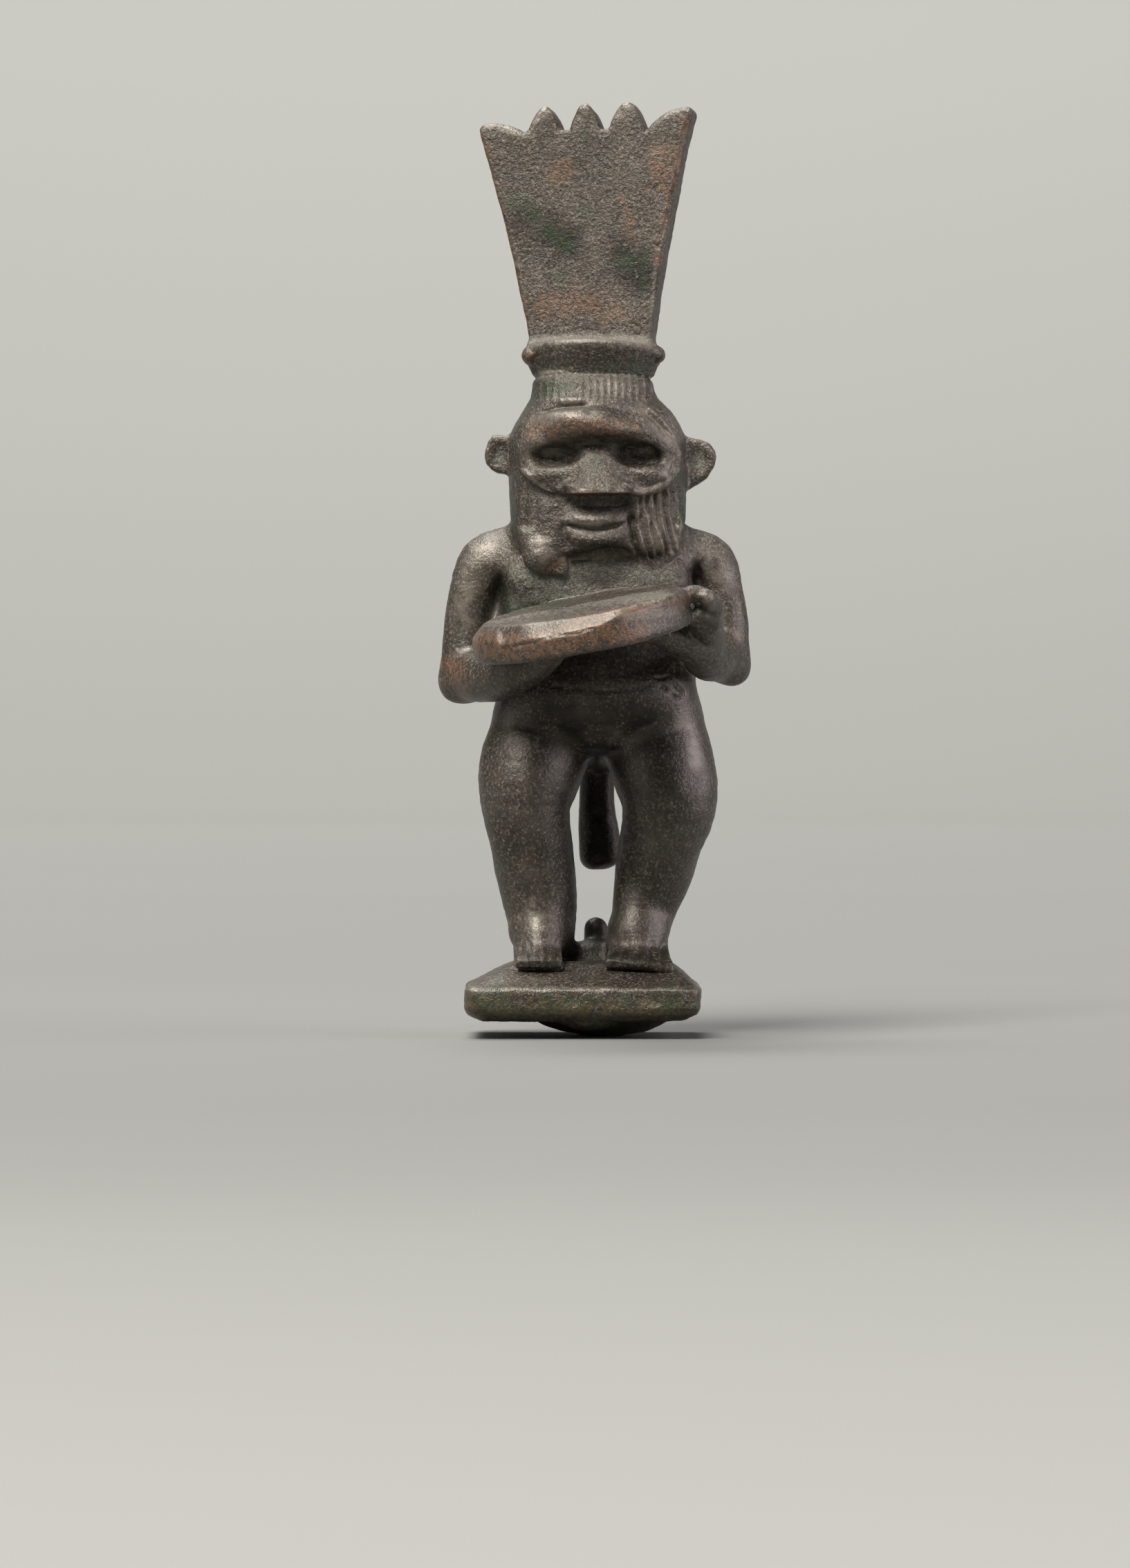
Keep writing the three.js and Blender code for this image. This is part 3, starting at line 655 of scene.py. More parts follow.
def sculpt_brow_lines(clay):
    """The roll of hair and the furrow over the brow, and the twisted strand at the left temple."""
    roll = [(-3.2, 50.7, 0.6), (-2.2, 50.75, 1), (-1.2, 50.8, 1), (-0.5, 50.85, 0.6)]
    clay.strand(roll, 0.38, 0.16, 0.15)
    clay.press([(-3.5, 50.42), (-2.4, 50.33), (-1.2, 50.38), (-0.3, 50.5)], 0.08, 0.12, (-8, -2))
    clay.press([(-4.4, 49.9), (-3, 50.2), (-1.8, 50.35), (-0.3, 50.45)], 0.2, 0.15, (-8, -2))
    clay.press([(0.4, 50.5), (2, 50.3), (3.4, 49.9)], 0.12, 0.2, (-8, -2))
    cord = [(4.3, 50.2, 0.6), (5.1, 49.4, 1), (5.75, 48.6, 1), (6.3, 48, 0.6)]
    clay.strand(cord, 0.28, -0.05, 0.06)
    clay.press([(4.75, 50.35), (5.5, 49.55), (6.3, 48.6)], 0.24, 0.12, (-8, 0))
    clay.press([(3.95, 50.05), (4.8, 49.15), (5.55, 48.1)], 0.24, 0.12, (-8, 0))


def sculpt_beard(clay):
    # His left half hangs in wavy locks side by side, raised from the cheek.
    half = [
        (3, 43.2), (3.6, 43.5), (5, 44), (6.2, 45), (7.6, 46), (7.8, 41), (7.3, 38.8), (5.8, 38.3),
        (4.1, 37.8), (3.4, 39), (2.9, 40.4),
    ]
    clay.emboss(half, 0.15, 0.5, (-8, -0.5))
    hem = [
        (3.1, 41), (3.3, 39.6), (3.7, 38.3), (4.2, 37.2), (5, 37.4), (6, 38.1), (6.7, 39), (6.9, 41),
    ]
    clay.add(plate(hem, (0, -3.2, 0), 1.45, 0.4, (0, 0, 6)), 0.3)
    chance = np.random.default_rng(5)
    locks = 6
    # How far down a lock each station is, and how far it has drifted outwards there.
    stations = ((0, -0.35), (0.2, -0.25), (0.4, -0.15), (0.6, 0.05), (0.8, 0.35), (1, 0.6))
    for i in range(locks):
        u = i / (locks - 1)
        x = 3.55 + 3.1 * u
        top, bottom = 43.0 + 1.3 * u, 38.1 + 0.6 * u
        line = []
        for share, drift in stations:
            sway = 0.12 * chance.uniform(-1, 1)
            thick = 0.3 if share in (0, 1) else chance.uniform(0.6, 1.25)
            line.append((x + drift + sway, top + share * (bottom - top), thick))
        clay.strand(line, 0.25, 0.1, 0.1)
        clay.press([(p + 0.31, q) for p, q, _ in line], 0.14, 0.12, (-8, 0), taper=0.08)
    clay.press([(2.85, 41.6), (3, 40.4), (3.3, 39.3), (3.7, 38.3)], 0.4, 0.26, (-8, -3))
    # His right half is worn smooth, and hangs over the chest as a blunt flap.
    flap = [
        (-6, 40.6), (-5.9, 39.6), (-5.65, 38.4), (-5.35, 37.7), (-4.3, 37.15), (-3.1, 36.9), (-2.35, 36.85),
        (-2.05, 37.4), (-2.2, 38.2), (-2.6, 38.9), (-2.8, 40.6),
    ]
    clay.add(plate(flap, (0, -3.7, 0), 1.45, 0.45, (0, 0, -4)), 0.4)
    clay.add(ball((-4.1, -4.35, 38.55), (1.5, 1.2, 1.4), (0, -8, 0)), 0.5)
    cheek = [
        (-6.4, 43), (-6, 40.5), (-5.9, 39.3), (-3, 39.3), (-2.9, 40.8), (-3.4, 42.4), (-4.6, 43.4),
    ]
    clay.emboss(cheek, 0.15, 0.7, (-8, -0.5))
    for i, x in enumerate((-3.6, -4.5, -5.4)):
        clay.press([(x, 43.2 + 0.4 * i), (x - 0.1, 42), (x, 40.9), (x + 0.1, 39.8)], 0.05, 0.2, (-8, 0))
    clay.press([(-4.6, 38.6), (-3.9, 37.9), (-3.2, 37.8)], 0.05, 0.25, (-8, -3))


def sculpt_hair(clay):
    """Short upright strokes of hair under the collar, and locks down the back of the head."""
    strokes = 17
    for i in range(strokes):
        x = -4.2 + 8.5 * i / (strokes - 1)
        size = 0.1 if x < -0.8 else 0.17
        line = [(x, 53, 0.6), (x * 1.02, 52.3, 1), (x * 1.04, 51.6, 1), (x * 1.06, 50.9, 0.5)]
        clay.strand(line, size, 0.03, 0.1)
    columns = 11
    for i in range(columns):
        x = -5.6 + 11.6 * i / (columns - 1)
        line = [(x * 0.8, 50.5), (x, 47.5), (x * 1.02, 43.5), (x, 40), (x * 0.95, 37)]
        clay.press(line, 0.14, 0.3, (2.2, 9), taper=0.1)


def sculpt_collar(clay):
    axes = axes_of(CROWN_TURN)
    at = (CROWN_X, CROWN_Y, HEAD_TOP_Z)
    flutes = 46
    tall = COLLAR_TOP_Z - HEAD_TOP_Z
    # Each row is a height, a half width and a half depth.
    rows = np.array([
        (0.2, 4.65, 4.2), (0.9, 4.7, 4.25), (1.6, 4.95, 4.45), (2.3, 5.3, 4.75), (tall - 0.7, 5.6, 5),
        (tall - 0.35, 5.72, 5.1), (tall - 0.1, 5.6, 5), (tall, 5.35, 4.75),
    ])

    def distance(x, y, z):
        u, v, w = to_local(x, y, z, at, axes)
        arch = 0.45 * np.clip(1 - (u / 5.5) ** 2, 0, 1)
        w = w - arch * np.clip(w / tall, 0, 1)
        wide = np.interp(w, rows[:, 0], rows[:, 1]).astype(np.float32)
        deep = np.interp(w, rows[:, 0], rows[:, 2]).astype(np.float32)
        turn = np.arctan2(v / deep, u / wide)
        body = np.clip((w - 1) / 0.4, 0, 1) * np.clip((tall - 0.55 - w) / 0.25, 0, 1)
        worn = 0.6 + 0.4 * np.sin(3.1 * turn + 0.7) * np.sin(7.3 * turn)
        flute = 0.09 * body * worn * np.maximum(np.cos(flutes * turn), -0.4)
        size = np.sqrt((u / wide) ** 2 + (v / deep) ** 2)
        side = (size - 1) * np.minimum(wide, deep) + flute
        ends = np.abs(w - tall / 2) - tall / 2
        return smooth_max(side, ends, 0.3)

    low = np.array((CROWN_X - 6, CROWN_Y - 5.8, HEAD_TOP_Z))
    high = np.array((CROWN_X + 6, CROWN_Y + 5.8, COLLAR_TOP_Z + 0.8))
    clay.add((low, high, distance), 0.15)
    # The groove below the collar, its rounded right end and the small facet at its left end.
    groove = [(-5, 52.75), (-2.5, 52.95), (0, 53), (2.5, 52.95), (4.6, 52.7)]
    clay.press(groove, 0.2, 0.2, (-8, 6), taper=0)
    clay.add(ball((-5.15, -0.6, 54.55), (0.75, 1.3, 0.75)), 0.3)
    clay.add(ball((5, -0.9, 54.65), (0.7, 1.2, 0.7)), 0.25)


def crown_outline():
    """The fan and its five plumes, across and up from the collar's top, as on its front face."""
    base_z = COLLAR_TOP_Z - 0.8
    left, right = (-4.75, 0), (4.75, 0)
    line = [left, right]
    line += curve(right, (5.9, 10), (8.1, CROWN_TOP_Z - 1.1 - base_z))
    line += curve(line[-1], (8.15, 20.15), (7.4, 20.05))
    line += curve(line[-1], (5.7, 19.9), (4.35, 18.15))
    # Each plume is its right foot, its tip and its left foot, and the tip's height.
    plumes = [(4.25, 2.8, 1.3, 20.55), (0.72, -0.65, -1.9, 20.4), (-2.6, -3.9, -5.15, 20.25)]
    for right_foot, tip, left_foot, top in plumes:
        line.append((right_foot, 18.35))
        line += curve(line[-1], (tip + 0.62 * (right_foot - tip), top - 0.4), (tip + 0.1, top))
        line += curve((tip - 0.1, top), (tip + 0.62 * (left_foot - tip), top - 0.4), (left_foot, 18.35))
    line += [(-5.45, 18.1), (-5.6, 18.1)]
    line += curve(line[-1], (-6.6, 18.8), (-8.3, 18.9))
    line += curve(line[-1], (-9.35, 18.85), (-9.2, 18.1))
    line += curve(line[-1], (-6.6, 10), left)
    return line[:-1]


def sculpt_crown(clay):
    at = (CROWN_X, CROWN_Y, COLLAR_TOP_Z - 0.8)
    clay.add(plate(crown_outline(), at, CROWN_HALF, 0.35, CROWN_TURN), 0.9)
    # A casting flaw like a small ring.
    ring = [(3.35 + 0.42 * math.cos(a), 56.6 + 0.38 * math.sin(a)) for a in np.linspace(0, 2 * math.pi, 9)]
    clay.press(ring, 0.1, 0.11, (-4, 0), taper=0)


def sculpt_tail(clay):
    x = AXIS_X + 0.15
    tail = [
        (13.2, x, 5.2, 1.3, 1.3, 2.4), (14.2, x + 0.05, 5.2, 1.62, 1.5, 2.4), (16, x, 5.3, 1.65, 1.5, 2.3),
        (18.5, x - 0.15, 5.5, 1.45, 1.45, 2.2), (21, x - 0.1, 5.7, 1.4, 1.4, 2),
        (24.5, x + 0.1, 5.8, 1.4, 1.5, 2), (27.5, x + 0.1, 4.4, 1.3, 1.2, 2),
    ]
    clay.add(column(tail, edge=0.9), 0.7)
    clay.press([(-1.2, 17.2), (0.4, 17.6), (1.8, 17.1)], 0.12, 0.5, (3, 9))
    clay.dent((1.1, 4.2, 13.2), (0.6, 1, 0.5), 0.3)
    # The stub of its lower end, and the metal that was left between the heels.
    clay.add(rod([(0.1, 3.6, 4.6, 1.15), (0.1, 4, 6.6, 0.98), (0.1, 4.2, 8.4, 0.93)]), 0.5)
    clay.add(ball((-0.2, 2.4, 5.6), (2.6, 2.2, 2)), 0.7)


def sculpt():
    clay = Clay(CLAY_LOW, CLAY_HIGH)
    sculpt_trunk(clay)
    sculpt_tail(clay)
    for half in (RIGHT, LEFT):
        sculpt_leg(clay, half)
    sculpt_belly(clay)
    sculpt_plinth(clay)
    for half in (RIGHT, LEFT):
        sculpt_foot(clay, half)
        sculpt_arm(clay, half)
    sculpt_skull(clay)
    for half in (RIGHT, LEFT):
        sculpt_ear(clay, half)
    sculpt_face(clay)
    sculpt_beard(clay)
    sculpt_collar(clay)
    sculpt_hair(clay)
    sculpt_crown(clay)
    sculpt_hands(clay)
    sculpt_drum(clay)
    return clay


# The surface of the casting.

def lumps(points, size, seed):
    """Smooth random values from -1 to 1, in lumps of about the given size."""
    period = 32
    table = np.random.default_rng(seed).uniform(-1, 1, (period,) * 3).astype(np.float32)
    spot = points / size
    cell = np.floor(spot).astype(int)
    part = spot - cell
    ease = part * part * (3 - 2 * part)
    total = np.zeros(len(points), np.float32)
    for corner in np.ndindex(2, 2, 2):
        weight = np.prod(np.where(corner, ease, 1 - ease), axis=1)
        total += weight * table[tuple(((cell + corner) % period).T)]
    return total


def mesh_of(name, points, faces):
    mesh = bpy.data.meshes.new(name)
    sides = faces.shape[1]
    mesh.vertices.add(len(points))
    mesh.vertices.foreach_set("co", np.asarray(points, np.float32).ravel())
    mesh.loops.add(faces.size)
    mesh.loops.foreach_set("vertex_index", faces.astype(np.int32).ravel())
    mesh.polygons.add(len(faces))
    mesh.polygons.foreach_set("loop_start", np.arange(0, faces.size, sides, dtype=np.int32))
    mesh.update(calc_edges=True)
    return mesh


def read_vertices(mesh):
    points = np.empty(3 * len(mesh.vertices), np.float32)
    mesh.vertices.foreach_get("co", points)
    normals = np.empty_like(points)
    mesh.vertex_normals.foreach_get("vector", normals)
    return points.reshape(-1, 3), normals.reshape(-1, 3)


def roughen(points, normals):
    """Moves the surface in and out a little, as a worn casting's is uneven."""
    height = 0.06 * lumps(points, 2.6, 1) + 0.03 * lumps(points, 1.1, 2) + 0.008 * lumps(points, 0.45, 3)
    grainy = np.clip((points[:, 2] - 32) / 4, 0.35, 1) + np.clip((6 - points[:, 2]) / 3, 0, 0.65)
    height += 0.026 * grainy * lumps(points @ GRAIN_WAY, 0.3, 6)
    plinth = np.clip((5.0 - points[:, 2]) / 1.5, 0, 1)
    height += plinth * (0.08 * lumps(points, 2, 4) + 0.06 * lumps(points, 0.8, 5))
    moved = points + normals * height[:, None]
    moved[:, 2] = np.maximum(moved[:, 2], 0)
    return moved


# The grain is stretched a little along a slant.
GRAIN_WAY = axes_of((0, 30, 0)) * np.array([0.75, 1, 1.15], np.float32)

# Marks on the patina, and painted shade and highlights, as strokes seen from the front. Each is a half
# width, a line across and up and, unless it may lie anywhere in front, the depths that it lies between.
FRONT, CHEST, RIM, BACK = (-25, 2), (-7, 2), (-25, -10), (-0.5, 9)
# Where the eye sockets lie, for their painted shade.
EYES = [(-5, 46.6), (-3.4, 46.6), (-2, 46.2), (-1.2, 47.1), (1.6, 47.1), (2.4, 46.2), (5, 46.4)]
STROKES = {
    "rust": [
        (0.55, [(2.2, 67.3), (2.7, 66), (2.8, 64.2)]),
        (1.2, [(-2.4, 69.6), (-3, 69.2)]),
        (1.3, [(5.4, 71), (5.2, 68.4)]),
        (1.5, [(-4.2, 58.5), (-1, 59), (1.5, 58)]),
        (0.45, [(-9.3, 72.8), (-7.6, 66.2), (-6, 59.5), (-5.4, 56)]),
        (0.35, [(7.2, 73.3), (5.8, 67), (4.8, 61.9)]),
        (0.9, [(-5, 48.3), (-2, 48.8), (0.2, 48.9), (3, 48.5)]),
        (0.3, [(-2.2, 43.3), (2.8, 43.5)]),
        (1.6, [(-9, 31.4), (-4, 31.2), (0.5, 32.6), (3, 32.2)], RIM),
        (0.8, [(-10.2, 2.6), (-9.6, 1.9)]),
        (0.8, [(7.9, 3.2), (8.2, 2.4)]),
        (0.6, [(-1.5, 33.3), (2, 34), (7.5, 35)], RIM),
        (1.2, [(-11.4, 29.8), (-10.8, 27.6)]),
        (0.8, [(-5.5, 54.6), (-5.2, 54)]),
        (0.8, [(-2.6, 38), (-3.6, 37.4)]),
        (0.4, [(-10, 3.6), (-9.6, 3.4)]),
    ],
    "green": [
        (1.3, [(-6.4, 67), (-5, 66.3)]),
        (1.2, [(-3.4, 64.4), (-2.2, 63.6)]),
        (1.4, [(2.4, 62.6), (3.2, 61.6)]),
        (1.7, [(-9.3, 2.9), (-2, 2.6), (7.6, 2.5)]),
        (1.2, [(-3, 0.2), (6, 0.3)]),
        (0.35, [(6.2, 19.7), (6.3, 19.8)]),
        (0.45, [(-11, 33.2), (-11.3, 31.2)]),
        (0.5, [(-6.5, 34.2), (-2, 35.1)]),
        (0.6, [(-7.6, 36.4), (-7, 34.6)], CHEST),
        (1, [(-2, 53.6), (4, 53.4)]),
        (0.8, [(6.9, 45), (7, 41.5)]),
        (0.7, [(-6.7, 43.5), (-6.4, 40)]),
        (0.7, [(0.3, 46.4), (0.2, 45.2)]),
        (0.6, [(-8, 46.9), (-7.6, 46)]),
        (0.8, [(-6, 50), (-5, 51.4), (-2, 51.8)]),
    ],
    "ochre": [(1.5, [(-9.3, 2.7), (-2, 2.4), (7.6, 2.3)])],
    "worn": [
        # Wear on the crown's plumes and edge, and on the collar's rim.
        (0.35, [(-9.1, 73.2), (-7.4, 73), (-6.2, 72.5)]),
        (0.45, [(-4.9, 73.7), (-4, 74.4)]),
        (0.45, [(-1.6, 73.8), (-0.8, 74.7)]),
        (0.45, [(1.9, 74), (2.7, 74.8)]),
        (0.4, [(5, 73.7), (7.4, 74.2)]),
        (0.15, [(7.4, 73.6), (6.3, 68.3), (5.6, 65.1), (4.9, 62.5), (4.3, 56.5)]),
        (0.25, [(-5.2, 55.2), (-3.7, 55.5), (-1.5, 55.7), (2.2, 55.7), (4.6, 55.3)]),
        # Painted highlights on both shoulders, the beard's flap, the brow, the roll of hair, the upper lip,
        # his right arm, the hand on the rim, his left beard and cheek, the temple's strand, the drum's rim,
        # his right ankle and his left thigh.
        (1.5, [(-8.8, 38.9), (-9.7, 36.8)]),
        (1.2, [(8.6, 38.6), (10.2, 36.8)]),
        (0.8, [(-4.7, 39.8), (-3.7, 37.8)]),
        (0.8, [(-4.6, 49.3), (-2.6, 49.7), (-0.8, 50)]),
        (0.4, [(-3, 50.8), (-0.6, 50.8)]),
        (0.9, [(-1.4, 41.2), (1.6, 41.2)]),
        (0.9, [(-10, 36), (-10.5, 33.4)]),
        (0.6, [(8.7, 35.6), (9.3, 34.4)], RIM),
        (1.3, [(4.4, 42), (5.6, 39.5)]),
        (0.5, [(6.4, 46.2), (5.3, 44.3)]),
        (0.8, [(4, 50.2), (5.3, 49), (6.2, 47.9)]),
        (0.4, [(1, 33.6), (6.5, 34.2)], RIM),
        (0.8, [(-4.8, 10.6), (-4.5, 9.2)]),
        (0.7, [(7.8, 24.6), (8, 22)]),
    ],
    "dark_patina_and_painted_shade": [
        # Painted shade in both armpits.
        (0.9, [(-7.5, 36.6), (-7.6, 33.6)], CHEST),
        (0.7, [(8, 37.2), (8.2, 34.8)], CHEST),
        # Painted shade in the eye sockets under the brow.
        (0.8, EYES),
        # Painted shade between his left hand and the drum's rim.
        (1.3, [(8.6, 34.6), (9.4, 33.2)], RIM),
        # Painted shade over the toes of both feet.
        (0.7, [(-5.6, 6.3), (-3.4, 6.3)]),
        (0.9, [(1.6, 6.4), (5.4, 6.2)]),
        # Painted shade in the arch between the thighs.
        (1.5, [(-0.8, 22.6), (0.4, 21.2), (1.4, 22.6)], (-5, 9)),
        # Dark patches of the crown's patina.
        (1.9, [(-5.6, 65.4), (-3.2, 64.6), (-2.2, 64)]),
        (1.9, [(2.4, 62.6), (3.6, 61)]),
        # Painted shade between the heels.
        (1, [(-2.2, 6.2), (0.6, 6.4)], (-4, 9)),
        # Painted shadow of the drum across the belly, and painted shade between the thighs and on the tail
        # behind them.
        (2.4, [(-3.6, 25.2), (4, 25.2)], CHEST),
        (1.5, [(0.2, 23.6), (0.4, 21.5)], CHEST),
        (3, [(0.4, 23), (0.4, 13)], BACK),
        # Painted shade on the stub between the heels.
        (2.2, [(0, 9.5), (-0.2, 6.5)], (-3, 9)),
    ],
    "dust": [
        (1.5, [(-3.4, 36.2), (0.5, 37.1), (5.5, 36.6)], CHEST),
        (1, [(-8, 33.8), (-2, 35), (5, 35.4)], RIM),
        (1.2, [(-6.4, 37.2), (-3.4, 36.6)], CHEST),
        (0.8, [(-6.5, 34.8), (0, 36.1)], CHEST),
        (0.7, [(-5, 55.9), (4.6, 55.9)]),
        (0.25, [(-4.9, 52.8), (0, 53.1), (4.4, 52.7)]),
        (0.5, [(-7.8, 46.6), (-7.6, 46.4)]),
        (0.7, [(8.3, 46.6), (8.3, 46)]),
    ],
}


def painted(points, normals, strokes):
    """How well each point is covered by strokes: 1 in one's middle, 0 away from them and on the back."""
    cover = np.zeros(len(points), np.float32)
    for width, line, *reach in strokes:
        near_y, far_y = reach[0] if reach else FRONT
        gap, _ = line_distance(line, points[:, 0], points[:, 2])
        within = (points[:, 1] > near_y) & (points[:, 1] < far_y)
        cover = np.maximum(cover, np.exp(-((gap / width) ** 2)) * within)
    return cover * np.clip(0.8 - 3 * normals[:, 1], 0, 1)


def figurine():
    clay = sculpt()
    fine = mesh_of("figurine_fine", *clay.surface())
    points, normals = read_vertices(fine)
    fine.vertices.foreach_set("co", roughen(points, normals).ravel())
    piece = bpy.data.objects.new("cast_figurine", fine)
    bpy.context.scene.collection.objects.link(piece)
    thin = piece.modifiers.new("thin", "DECIMATE")
    thin.ratio = min(1.0, TRIANGLES / (2 * len(fine.polygons)))
    mesh = bpy.data.meshes.new_from_object(piece.evaluated_get(bpy.context.evaluated_depsgraph_get()))
    piece.modifiers.clear()
    piece.data = mesh
    bpy.data.meshes.remove(fine)
    points, normals = read_vertices(mesh)
    # How enclosed the surface is, from close by and from farther off, and how sharp its edges are.
    near, far = 0.4, 1.2
    hollow = 0.5 * (1 - clay.sample(points + near * normals) / near)
    hollow += 0.5 * (1 - clay.sample(points + far * normals) / far)
    edge = 1 + clay.sample(points - near * normals) / near
    marks = {name: painted(points, normals, strokes) for name, strokes in STROKES.items()}
    height = points[:, 2]
    marks["hollow"] = np.clip(hollow, 0, 1) * np.clip((height - 27) / 4, 0, 1)
    # The edges of the feet aren't rubbed bright, the crown is darker, and the legs are smoother.
    on_foot = np.clip((height - 4.6) / 0.8, 0, 1) * np.clip((9 - height) / 2, 0, 1)
    marks["edge"] = np.clip(2 * edge, 0, 1) * (1 - 0.85 * on_foot)
    marks["dark_patina_and_painted_shade"] = np.maximum(marks["dark_patina_and_painted_shade"], 0.28 * np.clip((height - 56) / 4, 0, 1))
    marks["coarse"] = np.clip((height - 33) / 3, 0.45, 1) + np.clip((4.5 - height) / 2, 0, 0.3)
    for name, values in marks.items():
        mesh.attributes.new(name, "FLOAT", "POINT").data.foreach_set("value", values.astype(np.float32))
    mesh.vertices.foreach_set("co", (points * MM).ravel())
    mesh.shade_smooth()
    mesh.update()
    mesh.name = "cast_figurine"
    return piece


# Materials.

class Nodes:
    """A short way to write a material's nodes."""

    def __init__(self, name):
        self.material = bpy.data.materials.new(name)
        self.material.use_nodes = True
        self.tree = self.material.node_tree
        self.surface = self.tree.nodes["Principled BSDF"]

    def add(self, kind, inputs=(), **settings):
        """A new node. Its inputs are pairs of a name or number, and a value or another node's output."""
        node = self.tree.nodes.new(kind)
        for key, value in settings.items():
            setattr(node, key, value)
        for key, value in inputs:
            self.put(node.inputs[key], value)
        return node

    def put(self, socket, value):
        if isinstance(value, bpy.types.NodeSocket):
            self.tree.links.new(value, socket)
        else:
            socket.default_value = value

    def noise(self, scale, detail=3.0, roughness=0.55, vector=None):
        inputs = [("Scale", scale), ("Detail", detail), ("Roughness", roughness)]
        if vector is not None:
            inputs.append(("Vector", vector))
        return self.add("ShaderNodeTexNoise", inputs).outputs["Fac"]

    def ramp(self, value, low, high, to_low=0.0, to_high=1.0):
        inputs = [("Value", value), ("From Min", low), ("From Max", high)]
        inputs += [("To Min", to_low), ("To Max", to_high)]
        return self.add("ShaderNodeMapRange", inputs, interpolation_type="SMOOTHSTEP").outputs["Result"]

    def math(self, operation, a, b):
        return self.add("ShaderNodeMath", [(0, a), (1, b)], operation=operation).outputs[0]

    def mix(self, factor, a, b):
        node = self.add("ShaderNodeMix", data_type="RGBA")
        self.put(node.inputs["Factor"], factor)
        self.put(node.inputs[6], a)
        self.put(node.inputs[7], b)
        return node.outputs[2]

    def mark(self, name):
        return self.add("ShaderNodeAttribute", attribute_name=name).outputs["Fac"]

    def patch(self, mark, noise, strength, spread):
        """A mark broken up by noise. The spread is how far the noise reaches into and out of it."""
        noise = self.math("MULTIPLY", self.math("SUBTRACT", noise, 0.5), spread)
        return self.ramp(self.math("ADD", self.math("MULTIPLY", mark, strength), noise), 0.3, 0.65)

    def bump(self, height, distance, normal=None):
        inputs = [("Strength", 1.0), ("Distance", distance), ("Height", height)]
        if normal is not None:
            inputs.append(("Normal", normal))
        return self.add("ShaderNodeBump", inputs).outputs["Normal"]


def bronze():
    n = Nodes("bronze")
    place = n.add("ShaderNodeTexCoord").outputs["Object"]
    fine = n.noise(9000, 1, 0.5, place)
    grain = n.noise(4000, 3, 0.75, place)
    pores = n.noise(3200, 2, 0.6, place)
    speckle = n.noise(2200, 4, 0.75, place)
    mottle = n.noise(900, 3, 0.6, place)
    clouds = n.noise(300, 4, 0.6, place)
    uneven = n.noise(550, 7, 0.72, place)
    hollow, edge = n.mark("hollow"), n.mark("edge")
    rust, green, ochre, worn, dark_patina_and_painted_shade, dust = [n.mark(name) for name in STROKES]

    dark = (0.0110, 0.0090, 0.0068, 1)
    brown = (0.025, 0.0200, 0.0148, 1)
    deep = (0.0050, 0.0048, 0.0034, 1)
    ruddy = (0.046, 0.0245, 0.0155, 1)
    warm = (0.11, 0.050, 0.024, 1)
    bare_metal_and_highlight = (0.130, 0.111, 0.093, 1)
    pale_dust = (0.10, 0.102, 0.083, 1)
    verdigris = (0.0145, 0.0225, 0.012, 1)
    yellow = (0.052, 0.040, 0.015, 1)
    lint = (0.13, 0.125, 0.10, 1)
    colour = n.mix(n.ramp(clouds, 0.35, 0.65), dark, brown)
    colour = n.mix(n.math("MULTIPLY", n.ramp(mottle, 0.5, 0.68), 0.5), colour, ruddy)
    colour = n.mix(n.ramp(grain, 0.38, 0.5, 0.95, 0), colour, deep)
    colour = n.mix(n.ramp(grain, 0.53, 0.66, 0, 0.85), colour, bare_metal_and_highlight)
    # Painted shade, and the crown's dark patina, in the deep colour.
    colour = n.mix(n.patch(dark_patina_and_painted_shade, uneven, 0.62, 2.6), colour, deep)
    # Rubbed edges, and the painted highlights of the worn strokes, in the bare colour, glossier and
    # smoother.
    rubbed_and_highlit = n.math("MAXIMUM", edge, worn)
    colour = n.mix(n.math("MULTIPLY", rubbed_and_highlit, n.ramp(uneven, 0.38, 0.6, 0.15, 0.85)), colour, bare_metal_and_highlight)
    rusty = n.math("MULTIPLY", n.patch(rust, speckle, 0.6, 2.8), n.ramp(fine, 0.4, 0.6, 0.2, 1.0))
    colour = n.mix(rusty, colour, warm)
    colour = n.mix(n.patch(green, uneven, 0.6, 3.4), colour, verdigris)
    colour = n.mix(n.patch(ochre, speckle, 0.45, 3.4), colour, yellow)
    dusty = n.patch(n.math("MAXIMUM", hollow, dust), speckle, 0.7, 2.0)
    colour = n.mix(n.math("MULTIPLY", dusty, n.ramp(fine, 0.4, 0.62, 0.1, 0.85)), colour, pale_dust)
    specks = n.math("ADD", n.noise(5200, 0, 0.5, place), n.math("MULTIPLY", dusty, 0.14))
    colour = n.mix(n.ramp(specks, 0.82, 0.86), colour, lint)
    n.put(n.surface.inputs["Base Color"], colour)
    n.put(n.surface.inputs["Metallic"], 0.0)
    n.put(n.surface.inputs["IOR"], 1.6)
    n.put(n.surface.inputs["Specular Tint"], (1.0, 0.92, 0.82, 1))
    # Less reflection where shade is painted.
    n.put(n.surface.inputs["Specular IOR Level"], n.ramp(dark_patina_and_painted_shade, 0, 1, 0.5, 0.22))
    gloss = n.math("MULTIPLY", rubbed_and_highlit, 0.14)
    n.put(n.surface.inputs["Roughness"], n.math("SUBTRACT", n.ramp(dusty, 0, 1, 0.43, 0.62), gloss))
    relief = n.math("MULTIPLY", n.mark("coarse"), n.ramp(rubbed_and_highlit, 0, 1, 1.0, 0.5))
    grain_bump = n.bump(n.math("MULTIPLY", grain, relief), 0.00012)
    normal = n.bump(n.math("MULTIPLY", pores, relief), 0.00008, grain_bump)
    n.put(n.surface.inputs["Normal"], normal)
    return n.material


# Stage, lights and camera.

